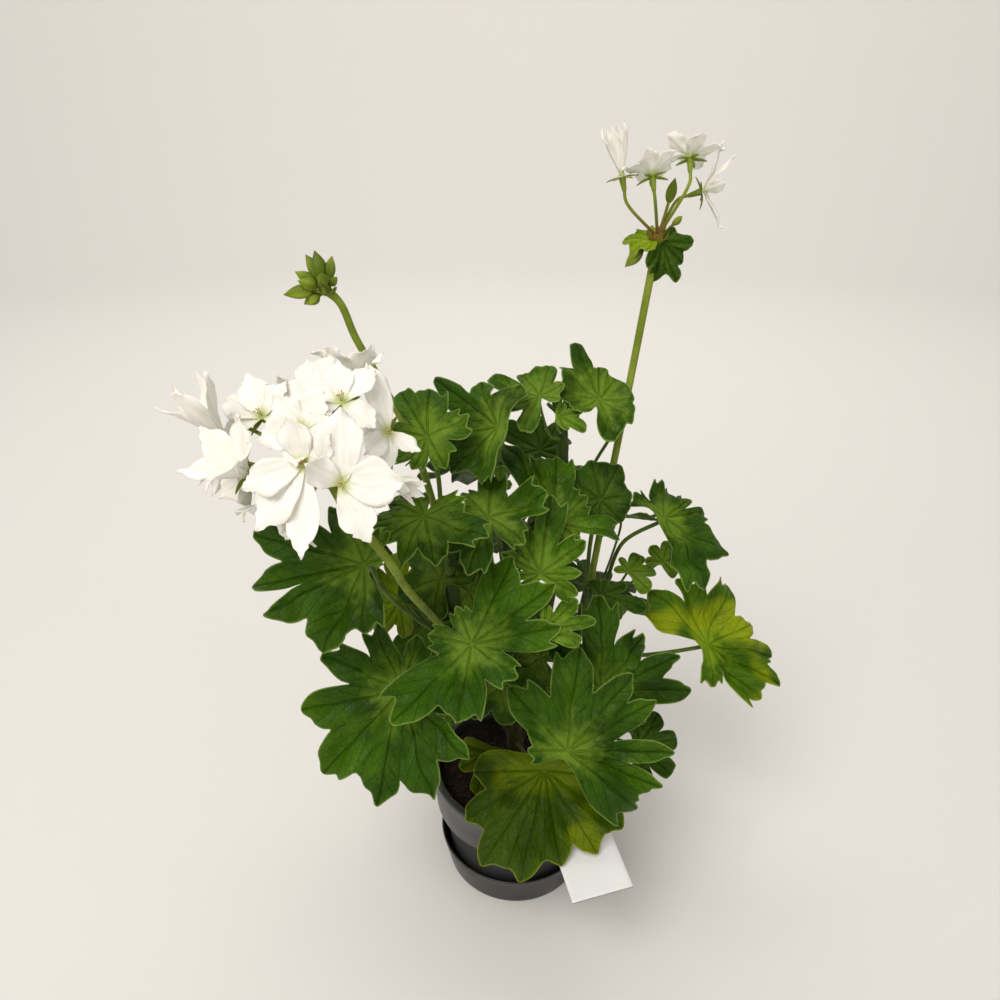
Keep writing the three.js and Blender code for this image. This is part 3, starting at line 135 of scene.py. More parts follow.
# Cup
# A shallow black cup of thin moulded polypropylene with a chamfered foot. The pot stands loose in it.
class Skin:
    """A new material: its main shader, and short calls that add nodes and join them."""

    def __init__(self, name):
        self.material = bpy.data.materials.new(name)
        self.material.use_nodes = True
        self.tree = self.material.node_tree
        self.shader = self.tree.nodes["Principled BSDF"]
        self.place = self.add("ShaderNodeTexCoord").outputs["Object"]

    def add(self, kind, **settings):
        node = self.tree.nodes.new(kind)
        for key, value in settings.items():
            setattr(node, key, value)
        return node

    def feed(self, socket, value):
        """Joins a socket to another, or gives it a value."""
        if isinstance(value, bpy.types.NodeSocket):
            self.tree.links.new(value, socket)
        else:
            socket.default_value = value

    def work(self, operation, *values):
        """One operation of arithmetic on values or sockets."""
        node = self.add("ShaderNodeMath", operation=operation)
        for socket, value in zip(node.inputs, values):
            self.feed(socket, value)
        return node.outputs[0]

    def times(self, first, second):
        return self.work("MULTIPLY", first, second)

    def plus(self, first, second):
        return self.work("ADD", first, second)

    def minus(self, first, second):
        return self.work("SUBTRACT", first, second)

    def band(self, value, start, end):
        """Rises smoothly from 0 at start to 1 at end, whichever of them is larger."""
        node = self.add("ShaderNodeMapRange", interpolation_type="SMOOTHSTEP")
        self.feed(node.inputs["Value"], value)
        node.inputs["From Min"].default_value = start
        node.inputs["From Max"].default_value = end
        return node.outputs["Result"]

    def blend(self, share, first, second):
        node = self.add("ShaderNodeMix", data_type="RGBA")
        self.feed(node.inputs[0], share)
        self.feed(node.inputs[6], first)
        self.feed(node.inputs[7], second)
        return node.outputs[2]

    def noise(self, scale, detail=2.0, stretch=None):
        """Soft blotches, scale of them to a metre, over the piece's own place."""
        node = self.add("ShaderNodeTexNoise")
        node.inputs["Scale"].default_value = scale
        node.inputs["Detail"].default_value = detail
        place = self.place
        if stretch:
            mapping = self.add("ShaderNodeMapping")
            mapping.inputs["Scale"].default_value = stretch
            self.feed(mapping.inputs["Vector"], place)
            place = mapping.outputs["Vector"]
        self.feed(node.inputs["Vector"], place)
        return node.outputs["Fac"]

    def relief(self, height, depth, strength=1.0):
        node = self.add("ShaderNodeBump")
        node.inputs["Strength"].default_value = strength
        node.inputs["Distance"].default_value = depth
        self.feed(node.inputs["Height"], height)
        self.feed(self.shader.inputs["Normal"], node.outputs["Normal"])

    def set(self, **values):
        """Fills the main shader's sockets, with _ for each space in their names."""
        for name, value in values.items():
            self.feed(self.shader.inputs[name.replace("_", " ")], value)


class Piece:
    """Points, faces and skin numbers gathered into one mesh."""

    def __init__(self):
        self.points = []
        self.faces = []
        self.skin_numbers = []
        self.corners = []
        self.edges = []
        self.count = 0

    def add(self, points, faces, skin=0, corners=None, edge=None):
        """corners: each face corner's place on the leaf or petal; edge: 1 where the rim is."""
        points = np.asarray(points, dtype=float)
        self.points.append(points)
        self.faces += [tuple(self.count + spot for spot in face) for face in faces]
        self.skin_numbers += [skin] * len(faces)
        blank = [(9.0, 9.0)] * sum(len(face) for face in faces)
        self.corners += blank if corners is None else list(corners)
        self.edges.append(np.zeros(len(points)) if edge is None else np.asarray(edge, dtype=float))
        self.count += len(points)

    def grow(self, name, skins, slot, *nodes):
        """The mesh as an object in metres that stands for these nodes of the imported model."""
        mesh = bpy.data.meshes.new(name)
        mesh.from_pydata(np.concatenate(self.points) * 0.001, [], self.faces)
        mesh.polygons.foreach_set("material_index", self.skin_numbers)
        mesh.polygons.foreach_set("use_smooth", [True] * len(self.faces))
        for skin in skins:
            mesh.materials.append(skin.material)
        layer = mesh.uv_layers.new(name="Growth")
        layer.data.foreach_set("uv", np.asarray(self.corners, dtype=np.float32).ravel())
        edge = mesh.attributes.new("Edge", "FLOAT", "POINT")
        edge.data.foreach_set("value", np.concatenate(self.edges).astype(np.float32))
        mesh.update()
        shown = bpy.data.objects.new(name, mesh)
        bpy.context.scene.collection.objects.link(shown)
        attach(shown, "root")
        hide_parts(*nodes)
        return shown


def turned(profile, sides):
    """Rings round the pot's axis from a profile of radii and heights, closed where it meets it."""
    points = []
    rings = []
    for radius, height in profile:
        if radius == 0:
            rings.append([len(points)] * sides)
            points.append((0, 0, height))
            continue
        rings.append(list(range(len(points), len(points) + sides)))
        points += circle(radius, height, sides)
    faces = []
    for inner, outer in zip(rings, rings[1:]):
        for spot in range(sides):
            after = (spot + 1) % sides
            corners = [inner[spot], inner[after], outer[after], outer[spot]]
            face = list(dict.fromkeys(corners))
            if len(face) > 2:
                faces.append(face)
    return points, faces


CUP_SIDES = 160
cup_profile = [
    (0, 0.0), (30, 0.0), (42.6, 0.0), (43.6, 0.4), (44.1, 1.2), (44.4, 3.0), (46.0, 11.0),
    (46.6, 14.0), (47.4, 18.4), (48.2, 22.4), (48.5, 23.3), (48.4, 23.8), (47.9, 24.0),
    (47.4, 23.8), (47.1, 23.2), (46.9, 22.2), (45.2, 14.0), (43.0, 2.6), (42.4, 1.8),
    (41.6, 1.5), (0, 1.5),
]


def moulded_plastic(name, face, worn, shine):
    """Moulded polypropylene: fine flow marks, dust caught in places, and rubbed lighter spots."""
    skin = Skin(name)
    dust = skin.band(skin.noise(38, 5), 0.52, 0.78)
    rubbed = skin.band(skin.noise(160, 3, stretch=(1, 1, 0.3)), 0.6, 0.75)
    tint = skin.blend(skin.times(dust, 0.55), colour(face), colour(worn))
    tint = skin.blend(skin.times(rubbed, 0.22), tint, colour("#77776f"))
    roughness = skin.plus(shine, skin.times(dust, 0.3))
    skin.set(Base_Color=tint, Roughness=roughness, Specular_IOR_Level=0.5)
    skin.relief(skin.noise(900, 3), 0.00006, 0.6)
    return skin


cup_skin = moulded_plastic("cup_plastic", "#252523", "#403f3a", 0.34)
cup_shell = Piece()
cup_shell.add(*turned(cup_profile, CUP_SIDES))
cup_shell.grow("cup_shell", [cup_skin], "cup_plastic", "cup")


# Pot
# A round nursery pot, injection moulded in grey-black polypropylene: a tapered body, a deep collar
# under a rolled lip, and five drain holes in its floor.
def bare_object(name, points, faces):
    """A plain object in metres from points in millimetres, used while others are made."""
    mesh = bpy.data.meshes.new(name)
    mesh.from_pydata(np.asarray(points, dtype=float) * 0.001, [], faces)
    made = bpy.data.objects.new(name, mesh)
    bpy.context.scene.collection.objects.link(made)
    return made


def finished_mesh(shown):
    """A plain mesh of an object as its modifiers leave it."""
    bpy.context.view_layer.update()
    return bpy.data.meshes.new_from_object(
        shown.evaluated_get(bpy.context.evaluated_depsgraph_get()))


POT_SIDES = 160
POT_FLOOR = 1.8
DRAIN_HOLES = 5
DRAIN_HOLE_RADIUS = 4
DRAIN_HOLE_RING = 26
DRILL_SIDES = 24
DRILL_FOOT, DRILL_TOP = -2, 8
pot_profile = [
    (0, POT_FLOOR), (40.6, POT_FLOOR), (41.3, 2.2), (41.6, 3.2), (43.9, 26.0), (46.3, 49.4),
    (46.7, 49.8), (50.2, 49.9), (50.7, 50.2), (50.9, 51.0), (51.3, 61.0), (51.8, 71.6),
    (52.1, 72.2), (52.4, 73.0), (52.5, 74.6), (52.3, 75.6), (51.8, 76.0), (49.6, 76.0),
    (48.6, 75.9), (48.3, 75.3), (48.5, 74.7), (49.6, 74.3), (50.2, 73.2), (50.3, 71.6),
    (49.5, 52.2), (49.0, 51.6), (45.6, 51.5), (44.9, 50.9), (42.4, 26.0), (40.1, 4.2),
    (39.4, 3.4), (0, 3.3),
]
pot_skin = moulded_plastic("pot_plastic", "#3c3e3f", "#63625c", 0.3)
pot_shell = Piece()
pot_shell.add(*turned(pot_profile, POT_SIDES))
pot = pot_shell.grow("pot_shell", [pot_skin], "pot_plastic", "pot")
drill_piece = Piece()
for hole in range(DRAIN_HOLES):
    turn = 2 * math.pi * hole / DRAIN_HOLES
    drill_points, drill_faces = turned([
        (0, DRILL_FOOT), (DRAIN_HOLE_RADIUS, DRILL_FOOT),
        (DRAIN_HOLE_RADIUS, DRILL_TOP), (0, DRILL_TOP)], DRILL_SIDES)
    aside = (DRAIN_HOLE_RING * math.cos(turn), DRAIN_HOLE_RING * math.sin(turn), 0)
    drill_piece.add(np.add(drill_points, aside), drill_faces)
drill = bare_object("drain_hole_drill", np.concatenate(drill_piece.points), drill_piece.faces)
drilling = pot.modifiers.new("drain_holes", "BOOLEAN")
drilling.object = drill
drilling.operation = "DIFFERENCE"
drilling.solver = "EXACT"
drilled = finished_mesh(pot)
pot.modifiers.clear()
pot.data = drilled
bpy.data.objects.remove(drill)


# Compost
# Dark, damp peat compost, pressed into the pot and a little mounded. Its top is lumpy, and loose
# crumbs of bark lie all over it.
SOIL_TOP_RADIUS = 49.0
SOIL_EDGE_HEIGHT = 67.0
SOIL_MOUND = 2.5
SOIL_RINGS = 40
SOIL_SPOKES = 120
SOIL_SETTLING = 0.3
LUMP_WAVES = 26
LUMP_PITCH = 1.6
LUMP_HEIGHT = 0.3
SOIL_BODY = [(48.5, 52.0), (44.2, 50.0), (39.8, 4.0)]
compost_skin = Skin("soil_compost")
crumbs = compost_skin.noise(420, 6)
bark = compost_skin.band(compost_skin.noise(170, 4), 0.55, 0.7)
earth = compost_skin.blend(crumbs, colour("#0a0705"), colour("#241811"))
compost_skin.set(Base_Color=compost_skin.blend(bark, earth, colour("#3a2415")), Roughness=0.95)
compost_skin.relief(crumbs, 0.0016)
compost_random = np.random.default_rng(11)
lump_waves = [
    (compost_random.normal(0, 0.28, 2), compost_random.uniform(0, 6.28),
     compost_random.uniform(0.15, 0.5))
    for _ in range(LUMP_WAVES)]


def soil_height(x, y):
    """The compost's surface: the mound, and lumps as a sum of fixed waves."""
    out = np.hypot(x, y) / SOIL_TOP_RADIUS
    lumps = sum(size * np.sin(wave[0] * x * LUMP_PITCH + wave[1] * y * LUMP_PITCH + phase)
                for wave, phase, size in lump_waves)
    mound = SOIL_EDGE_HEIGHT - SOIL_SETTLING + SOIL_MOUND * (1 - out ** 2)
    return mound + LUMP_HEIGHT * lumps * (1 - 0.6 * out)


soil_points = [(0.0, 0.0, float(soil_height(0.0, 0.0)))]
for ring in range(1, SOIL_RINGS + 1):
    for x, y, _ in circle(SOIL_TOP_RADIUS * ring / SOIL_RINGS, 0, SOIL_SPOKES):
        soil_points.append((x, y, float(soil_height(x, y))))
for radius, height in SOIL_BODY:
    soil_points += circle(radius, height, SOIL_SPOKES)
soil_points.append((0.0, 0.0, SOIL_BODY[-1][1]))
soil_faces = []
for spot in range(SOIL_SPOKES):
    after = (spot + 1) % SOIL_SPOKES
    soil_faces.append((0, 1 + spot, 1 + after))
    for ring in range(SOIL_RINGS + len(SOIL_BODY) - 1):
        near, far = 1 + ring * SOIL_SPOKES, 1 + (ring + 1) * SOIL_SPOKES
        soil_faces.append((near + spot, far + spot, far + after, near + after))
    last = 1 + (SOIL_RINGS + len(SOIL_BODY) - 1) * SOIL_SPOKES
    soil_faces.append((last + after, last + spot, len(soil_points) - 1))
compost = Piece()
compost.add(soil_points, soil_faces)
compost.grow("compost_bed", [compost_skin], "soil_compost", "soil")


def scatter_tree():
    """Geometry Nodes that stand copies of a small shape at random on a surface."""
    tree = bpy.data.node_groups.new("scatter", "GeometryNodeTree")
    for label, kind in (("Surface", "Geometry"), ("Shape", "Object"), ("Density", "Float"),
                        ("Smallest", "Float"), ("Largest", "Float"), ("Lean", "Float"),
                        ("Seed", "Int"), ("Skin", "Material")):
        tree.interface.new_socket(label, in_out="INPUT", socket_type="NodeSocket" + kind)
    tree.interface.new_socket("Grown", in_out="OUTPUT", socket_type="NodeSocketGeometry")
    given = tree.nodes.new("NodeGroupInput").outputs
    spots = tree.nodes.new("GeometryNodeDistributePointsOnFaces")
    most = tree.nodes.new("ShaderNodeCombineXYZ")
    least = tree.nodes.new("ShaderNodeVectorMath")
    least.operation = "SCALE"
    turn = tree.nodes.new("FunctionNodeRandomValue")
    turn.data_type = "FLOAT_VECTOR"
    tilt = tree.nodes.new("FunctionNodeRotateRotation")
    tilt.rotation_space = "LOCAL"
    size = tree.nodes.new("FunctionNodeRandomValue")
    shape = tree.nodes.new("GeometryNodeObjectInfo")
    copies = tree.nodes.new("GeometryNodeInstanceOnPoints")
    real = tree.nodes.new("GeometryNodeRealizeInstances")
    painted = tree.nodes.new("GeometryNodeSetMaterial")
    most.inputs["Z"].default_value = math.pi
    least.inputs["Scale"].default_value = -1.0
    for source, target in (
            (given["Surface"], spots.inputs["Mesh"]), (given["Density"], spots.inputs["Density"]),
            (given["Seed"], spots.inputs["Seed"]), (given["Lean"], most.inputs["X"]),
            (given["Lean"], most.inputs["Y"]), (most.outputs[0], least.inputs[0]),
            (least.outputs[0], turn.inputs[0]), (most.outputs[0], turn.inputs[1]),
            (given["Seed"], turn.inputs["Seed"]),
            (spots.outputs["Rotation"], tilt.inputs["Rotation"]),
            (turn.outputs[0], tilt.inputs["Rotate By"]), (given["Smallest"], size.inputs[2]),
            (given["Largest"], size.inputs[3]), (given["Seed"], size.inputs["Seed"]),
            (given["Shape"], shape.inputs["Object"]),
            (spots.outputs["Points"], copies.inputs["Points"]),
            (shape.outputs["Geometry"], copies.inputs["Instance"]),
            (tilt.outputs[0], copies.inputs["Rotation"]), (size.outputs[1], copies.inputs["Scale"]),
            (copies.outputs[0], real.inputs[0]), (real.outputs[0], painted.inputs["Geometry"]),
            (given["Skin"], painted.inputs["Material"]),
            (painted.outputs[0], tree.nodes.new("NodeGroupOutput").inputs["Grown"])):
        tree.links.new(source, target)
    return tree


scatter_nodes = scatter_tree()


def scatter(name, slot, surface, **values):
    """A piece of small shapes stood on a surface, whose helper objects are then removed."""
    growing = surface.modifiers.new("scatter", "NODES")
    growing.node_group = scatter_nodes
    for socket in scatter_nodes.interface.items_tree:
        if socket.name in values:
            growing[socket.identifier] = values[socket.name]
    shown = bpy.data.objects.new(name, finished_mesh(surface))
    bpy.context.scene.collection.objects.link(shown)
    bpy.data.objects.remove(surface)
    bpy.data.objects.remove(values["Shape"])
    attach(shown, "root")


CRUMB_REACH = 47.0
CRUMBS_TO_A_SQUARE_METRE = 3.2e5
crumb_skin = Skin("bark_crumbs")
crumb_mix = crumb_skin.blend(
    crumb_skin.band(crumb_skin.noise(260, 1), 0.45, 0.62), colour("#0d0805"), colour("#4a2a17"))
crumb_skin.set(Base_Color=crumb_mix, Roughness=0.9)
crumb_skin.relief(crumb_skin.noise(1500, 3), 0.0002)
crumb = bare_object(
    "crumb",
    [(1.2, 0.1, 0), (0.1, 0.7, 0.2), (-1.0, 0.2, -0.1), (-0.1, -0.8, 0.1),
     (0.1, 0.1, 0.6), (0, 0, -0.5)],
    [(0, 1, 4), (1, 2, 4), (2, 3, 4), (3, 0, 4), (1, 0, 5), (2, 1, 5), (3, 2, 5), (0, 3, 5)])
top_points = soil_points[:1 + SOIL_SPOKES * int(CRUMB_REACH / SOIL_TOP_RADIUS * SOIL_RINGS)]
top_faces = [face for face in soil_faces if max(face) < len(top_points)]
scatter("compost_crumbs", "soil_compost", bare_object("compost_top", top_points, top_faces),
        Shape=crumb, Density=CRUMBS_TO_A_SQUARE_METRE, Smallest=0.35, Largest=1.5, Lean=0.8,
        Seed=3, Skin=crumb_skin.material)


# Label
# A white push-in plant label of sheet plastic. Its back and the narrow faces round it are painted
# dark grey: painted shade for the shaded underside and lower edge. Its narrow foot is stuck into
# the compost and its broad head is bent out over the pot's rim. It carries no print.
LABEL_WIDTH = 35.0
LABEL_THICKNESS = 0.8
LABEL_DIRECTION = math.radians(-73.5)
LABEL_ASIDE = 17.7
LABEL_STEPS = 60
LABEL_COLUMNS = 14
EDGE_ROUND = 0.15
label_line = [(20, 50), (33, 68), (43, 78.6), (54, 80), (72, 76.6), (98.6, 71)]
label_halves = [(15, 5), (44, 6), (58, LABEL_WIDTH / 2), (110, LABEL_WIDTH / 2)]


def curve_run(a, b, c, d, steps, spacing=0.25):
    """Points from b towards c on a smooth curve through all four. Spacing 0 makes knots even."""
    gaps = [max(np.sum((q - p) ** 2), 1e-8) ** spacing for p, q in ((a, b), (b, c), (c, d))]
    leave = (b - a) / gaps[0] - (c - a) / (gaps[0] + gaps[1]) + (c - b) / gaps[1]
    reach = (c - b) / gaps[1] - (d - b) / (gaps[1] + gaps[2]) + (d - c) / gaps[2]
    leave, reach = leave * gaps[1], reach * gaps[1]
    t = np.linspace(0, 1, steps, endpoint=False)[:, None]
    return (b + leave * t + (3 * (c - b) - 2 * leave - reach) * t ** 2
            + (2 * (b - c) + leave + reach) * t ** 3)


def bent_line(points, steps, spacing=0.25):
    """A smooth line through the points, cut into equal steps."""
    knots = np.asarray(points, dtype=float)
    first, last = 2 * knots[0] - knots[1], 2 * knots[-1] - knots[-2]
    knots = np.vstack([first, knots, last])
    dense = [curve_run(*knots[start:start + 4], 40, spacing) for start in range(len(knots) - 3)]
    dense = np.vstack(dense + [knots[-2][None]])
    lengths = np.concatenate([[0], np.cumsum(np.linalg.norm(np.diff(dense, axis=0), axis=1))])
    wanted = np.linspace(0, lengths[-1], steps + 1)
    return np.column_stack([np.interp(wanted, lengths, column) for column in dense.T])


def two_tone(name, scale, first, second, roughness):
    """A skin of two close colours in soft blotches, scale of them to a metre."""
    skin = Skin(name)
    blotches = skin.noise(scale, 2)
    skin.set(Base_Color=skin.blend(blotches, colour(first), colour(second)), Roughness=roughness)
    return skin


label_skin = two_tone("label_sheet", 25, "#f4f5f4", "#eceded", 0.4)
label_skin.relief(label_skin.noise(1500, 2), 0.00002, 0.4)
# Dark grey skin of the back: painted shade for the label's underside and lower edge.
label_shaded_back_skin = two_tone("label_painted_shade_back", 60, "#2c2d2b", "#383935", 0.45)
label_middle = bent_line(label_line, LABEL_STEPS, spacing=0)
label_slope = np.gradient(label_middle, axis=0)
label_slope /= np.linalg.norm(label_slope, axis=1)[:, None]
label_across = np.column_stack([-label_slope[:, 1], label_slope[:, 0]])
label_half_widths = np.interp(label_middle[:, 0], *zip(*label_halves))
half = LABEL_THICKNESS / 2
columns = np.linspace(-1, 1, LABEL_COLUMNS)
label_section = [(-1, 0, half - EDGE_ROUND)]
label_section += [(column, EDGE_ROUND, half) for column in columns]
label_section += [(1, 0, half - EDGE_ROUND), (1, 0, EDGE_ROUND - half)]
label_section += [(column, EDGE_ROUND, -half) for column in columns[::-1]]
label_section += [(-1, 0, EDGE_ROUND - half)]
label_points = []
for (out, up), (rise_out, rise_up), wide in zip(label_middle, label_across, label_half_widths):
    for share, inset, lift in label_section:
        away, high = out + rise_out * lift, up + rise_up * lift
        aside = LABEL_ASIDE - share * (wide - inset)
        label_points.append((
            away * math.cos(LABEL_DIRECTION) - aside * math.sin(LABEL_DIRECTION),
            away * math.sin(LABEL_DIRECTION) + aside * math.cos(LABEL_DIRECTION),
            high))
around = len(label_section)
last_ring = LABEL_STEPS * around
label_faces = [tuple(range(around)), tuple(range(last_ring + around - 1, last_ring - 1, -1))]
label_faces += ring_faces(LABEL_STEPS + 1, around, inwards=True)
FRONT, BACK = 0, 1
# The back faces take the painted shade skin.
ring_skins = [FRONT if spot <= LABEL_COLUMNS else BACK for spot in range(around)]
label_sheet = Piece()
label_sheet.add(label_points, label_faces)
label_sheet.skin_numbers = [BACK, BACK] + ring_skins * LABEL_STEPS
label_sheet.grow("label_sheet", [label_skin, label_shaded_back_skin], "label_card", "label")


# Stems
# A short trunk forks into five soft, round, hairy green shoots. They are ringed where leaves grew
# and turn brown and woody near the compost. Small leaves are still folded at their tips.
def unit(vector):
    vector = np.asarray(vector, dtype=float)
    return vector / np.linalg.norm(vector)


def tube(line, radii, sides=12):
    """Round rings along a line, closed at both ends."""
    line = np.asarray(line, dtype=float)
    radii = np.broadcast_to(np.asarray(radii, dtype=float), (len(line),))
    slopes = np.gradient(line, axis=0)
    slopes /= np.linalg.norm(slopes, axis=1)[:, None]
    aslant = (0.3, 0.9, 0.1) if abs(slopes[0][1]) < 0.8 else (1.0, 0.1, 0.1)
    side = unit(np.cross(slopes[0], aslant))
    turns = np.linspace(0, 2 * math.pi, sides, endpoint=False)[:, None]
    rings = []
    for centre, slope, radius in zip(line, slopes, radii):
        side = unit(side - slope * (side @ slope))
        other = np.cross(slope, side)
        rings.append(centre + radius * (np.cos(turns) * side + np.sin(turns) * other))
    points = np.vstack(rings + [line[:1], line[-1:]])
    faces = []
    last = (len(line) - 1) * sides
    for spot in range(sides):
        after = (spot + 1) % sides
        for ring in range(0, last, sides):
            faces.append((ring + spot, ring + after, ring + sides + after, ring + sides + spot))
        faces.append((last + sides, after, spot))
        faces.append((last + sides + 1, last + spot, last + after))
    return points, faces


def green_stalk(name, face, shade, blush=None, none_at=(), full_at=0):
    """Hairy green rind, with a blush that is full at one height and gone at others, in metres."""
    skin = Skin(name)
    patches = skin.band(skin.noise(60, 4), 0.35, 0.7)
    tint = skin.blend(patches, colour(shade), colour(face))
    if blush:
        parted = skin.add("ShaderNodeSeparateXYZ")
        skin.feed(parted.inputs[0], skin.place)
        share = skin.plus(0.35, skin.noise(120, 3))
        for gone in none_at:
            share = skin.times(share, skin.band(parted.outputs["Z"], gone, full_at))
        share = skin.work("MINIMUM", share, 1)
        tint = skin.blend(share, tint, colour(blush))
    skin.set(
        Base_Color=tint, Roughness=0.5, Specular_IOR_Level=0.2,
        Sheen_Weight=0.1, Sheen_Roughness=0.4, Sheen_Tint=colour("#dfeab8"),
        Subsurface_Weight=0.12, Subsurface_Radius=(0.0012, 0.0016, 0.0006))
    skin.relief(skin.noise(500, 4, stretch=(1, 1, 0.25)), 0.00025)
    return skin


shoots = {
    "trunk": dict(radius=5.2, line=[(0, 4, 45), (0, 4, 80), (-1, 4, 104), (0, 5, 118)]),
    "left": dict(radius=3.6, line=[
        (0, 4, 92), (-14, -5, 130), (-28, -16, 170), (-34, -20, 210), (-35, -18, 250)]),
    "centre": dict(radius=3.4, line=[
        (0, 4, 104), (-2, 0, 150), (-4, -6, 200), (-7, -8, 240), (-9, -9, 274)]),
    "crown": dict(radius=3.5, line=[
        (0, 5, 104), (11, 8, 150), (19, 8, 200), (23, 4, 255), (21, 1, 308)]),
    "right": dict(radius=3.7, line=[(0, 5, 88), (22, 11, 125), (36, 14, 165), (42, 13, 202)]),
    "back": dict(radius=3.5, line=[(0, 5, 86), (-4, 24, 128), (-6, 36, 178), (-4, 40, 226)]),
}
KNOT_SPACING = 21
KNOT_SHIFT = 7
KNOT_HALF_LENGTH = 1.8
KNOT_SWELLING = 0.1
stem_skin = green_stalk("stem_rind", "#3a5210", "#2a3e0a", "#3d301a", [0.15], 0.075)


def shoot_point(name, height):
    """The point on a shoot's axis at this height."""
    line = bent_line(shoots[name]["line"], 160)
    return line[np.argmin(np.abs(line[:, 2] - height))]


stem_piece = Piece()
hairy = Piece()
for place, shoot in enumerate(shoots.values()):
    line = bent_line(shoot["line"], 70)
    run = np.concatenate([[0], np.cumsum(np.linalg.norm(np.diff(line, axis=0), axis=1))])
    knots = np.abs((run + KNOT_SHIFT * place) % KNOT_SPACING - KNOT_SPACING / 2) - KNOT_SPACING / 2
    swelling = 1 + KNOT_SWELLING * np.exp(-(knots / KNOT_HALF_LENGTH) ** 2)
    taper = np.interp(run / run[-1], [0, 0.7, 0.97, 1], [0.97, 0.93, 0.8, 0.35])
    stem_tube = tube(line, shoot["radius"] * swelling * taper, 16)
    stem_piece.add(*stem_tube)
    hairy.add(*stem_tube)


# Leaves
# Each leaf is a soft star of lobes on a long round stalk. The lobes are cut deep and toothed at
# their ends, with sunken veins and a pale heart where the veins meet. A thin painted highlight
# lines each blade's rim.
BLADE_HALF_THICKNESS = 0.28
RIM_STEPS = 3
PLAIN_RIM_STEPS = 2
RIM_OUT = 0.14
RIM_BAND = 0.75
LIFT_POWER = 1.8
RISE_BETWEEN_VEINS = 0.07
GROOVE_DEPTH = 0.6
GROOVE_HALF_WIDTH = 0.8
PUCKER_HEIGHT = 0.8
CUT_SHARE = 0.6
BASAL_CUT_SHARE = 0.2
BASAL_HALF_ANGLE = 30
SIDE_VEIN_SLANT = 1.45
SIDE_VEIN_SPACING = 8.5
RINGS = np.array([0.05, 0.12, 0.2, 0.29, 0.38, 0.47, 0.56, 0.65, 0.73, 0.81, 0.89])
PLAIN_RINGS = np.array([0.06, 0.16, 0.28, 0.42, 0.56, 0.7, 0.8, 0.89])
FLANK = [(0.9, 0.24), (0.73, 0.7)]
NARROW_FLANK = [(0.84, 0.28), (0.58, 0.76)]
PLAIN_FLANK = [(0.88, 0.3), (0.68, 0.74)]
TOOTHED_TIP = [(0.54, 0.96), (0.4, 0.86), (0.22, 0.93), (0.09, 0.985)]
NARROW_TIP = [(0.34, 0.91), (0.13, 0.975)]
PLAIN_TIP = [(0.46, 0.93), (0.2, 0.98)]
SHOULDER = 0.92
NARROW_HALF_ANGLE = 21
RIM_WAVES = [(1.1, 4.2), (0.5, 2.3)]
SWELLS = 5
SWELL_LENGTHS = (15, 34)
SWELL_HEIGHTS = (0.7, 1.6)
UNEVEN_TURN = 0.012
UNEVEN_REACH = 0.008


def face_frame(azimuth, elevation):
    """A leaf's or bloom's normal, the direction to its right and the direction uphill."""
    turn, rise = math.radians(azimuth), math.radians(elevation)
    level = math.cos(rise)
    normal = np.array([level * math.cos(turn), level * math.sin(turn), math.sin(rise)])
    right = unit(np.cross((0, 0, 1), normal))
    return normal, right, np.cross(normal, right)


def blade_rim(lobes, plain, random):
    """The rim as angles and reaches, and for each point its lobe, side, lift and local reach."""
    count = len(lobes)
    turns = [lobe[0] for lobe in lobes] + [lobes[0][0] + 360]
    halves = [(turns[i + 1] - turns[i]) / 2 for i in range(count)]
    halves[-1] = min(halves[-1], BASAL_HALF_ANGLE)
    knots = []
    for i, lobe in enumerate(lobes):
        angle, reach, lift = lobe[:3]
        following, previous = lobes[(i + 1) % count], lobes[i - 1]
        before, after = halves[i - 1], halves[i]
        least = min(reach, following[1])
        cut_after = lobe[3] if len(lobe) > 3 else least * CUT_SHARE
        cut_before = previous[3] if len(previous) > 3 else min(reach, previous[1]) * CUT_SHARE
        for side, half, cut, basal in (
                (-1, before, cut_before, i == 0), (1, after, cut_after, i == count - 1)):
            foot = reach * 0.5 if basal else cut
            if plain:
                sides, tips = PLAIN_FLANK, PLAIN_TIP
            elif half > NARROW_HALF_ANGLE:
                sides, tips = FLANK, TOOTHED_TIP
            else:
                sides, tips = NARROW_FLANK, NARROW_TIP
            flank = [(aside, foot + (SHOULDER * reach - foot) * rise) for aside, rise in sides]
            flank += [(aside, reach * (share + random.normal(0, UNEVEN_REACH)))
                      for aside, share in tips]
            flank = [(aside + random.normal(0, UNEVEN_TURN), away) for aside, away in flank]
            if side > 0:
                knots.append((angle, reach, i, 0, lift, reach))
                flank.reverse()
            knots += [(angle + side * aside * half, away, i, side * aside, lift, reach)
                      for aside, away in flank]
        if i < count - 1:
            lift_there = (lift + following[2]) * 0.25
            knots.append((angle + after, cut_after, i, 1.0, lift_there, cut_after / CUT_SHARE))
        else:
            middle = (turns[i] + turns[i + 1]) / 2
            knots.append((middle, least * BASAL_CUT_SHARE, i, 1.0, 0.0, least))
    knots = np.array(knots)
    flat = np.radians(knots[:, 0])
    across, along = knots[:, 1] * np.cos(flat), knots[:, 1] * np.sin(flat)
    return knots, np.column_stack([across, along])


def rounded_rim(closed, per_knot):
    """A closed smooth line through the rim's knots, with per_knot points to each."""
    count = len(closed)
    return np.vstack([
        curve_run(*(closed[(start + step) % count] for step in (-1, 0, 1, 2)), per_knot)
        for start in range(count)])


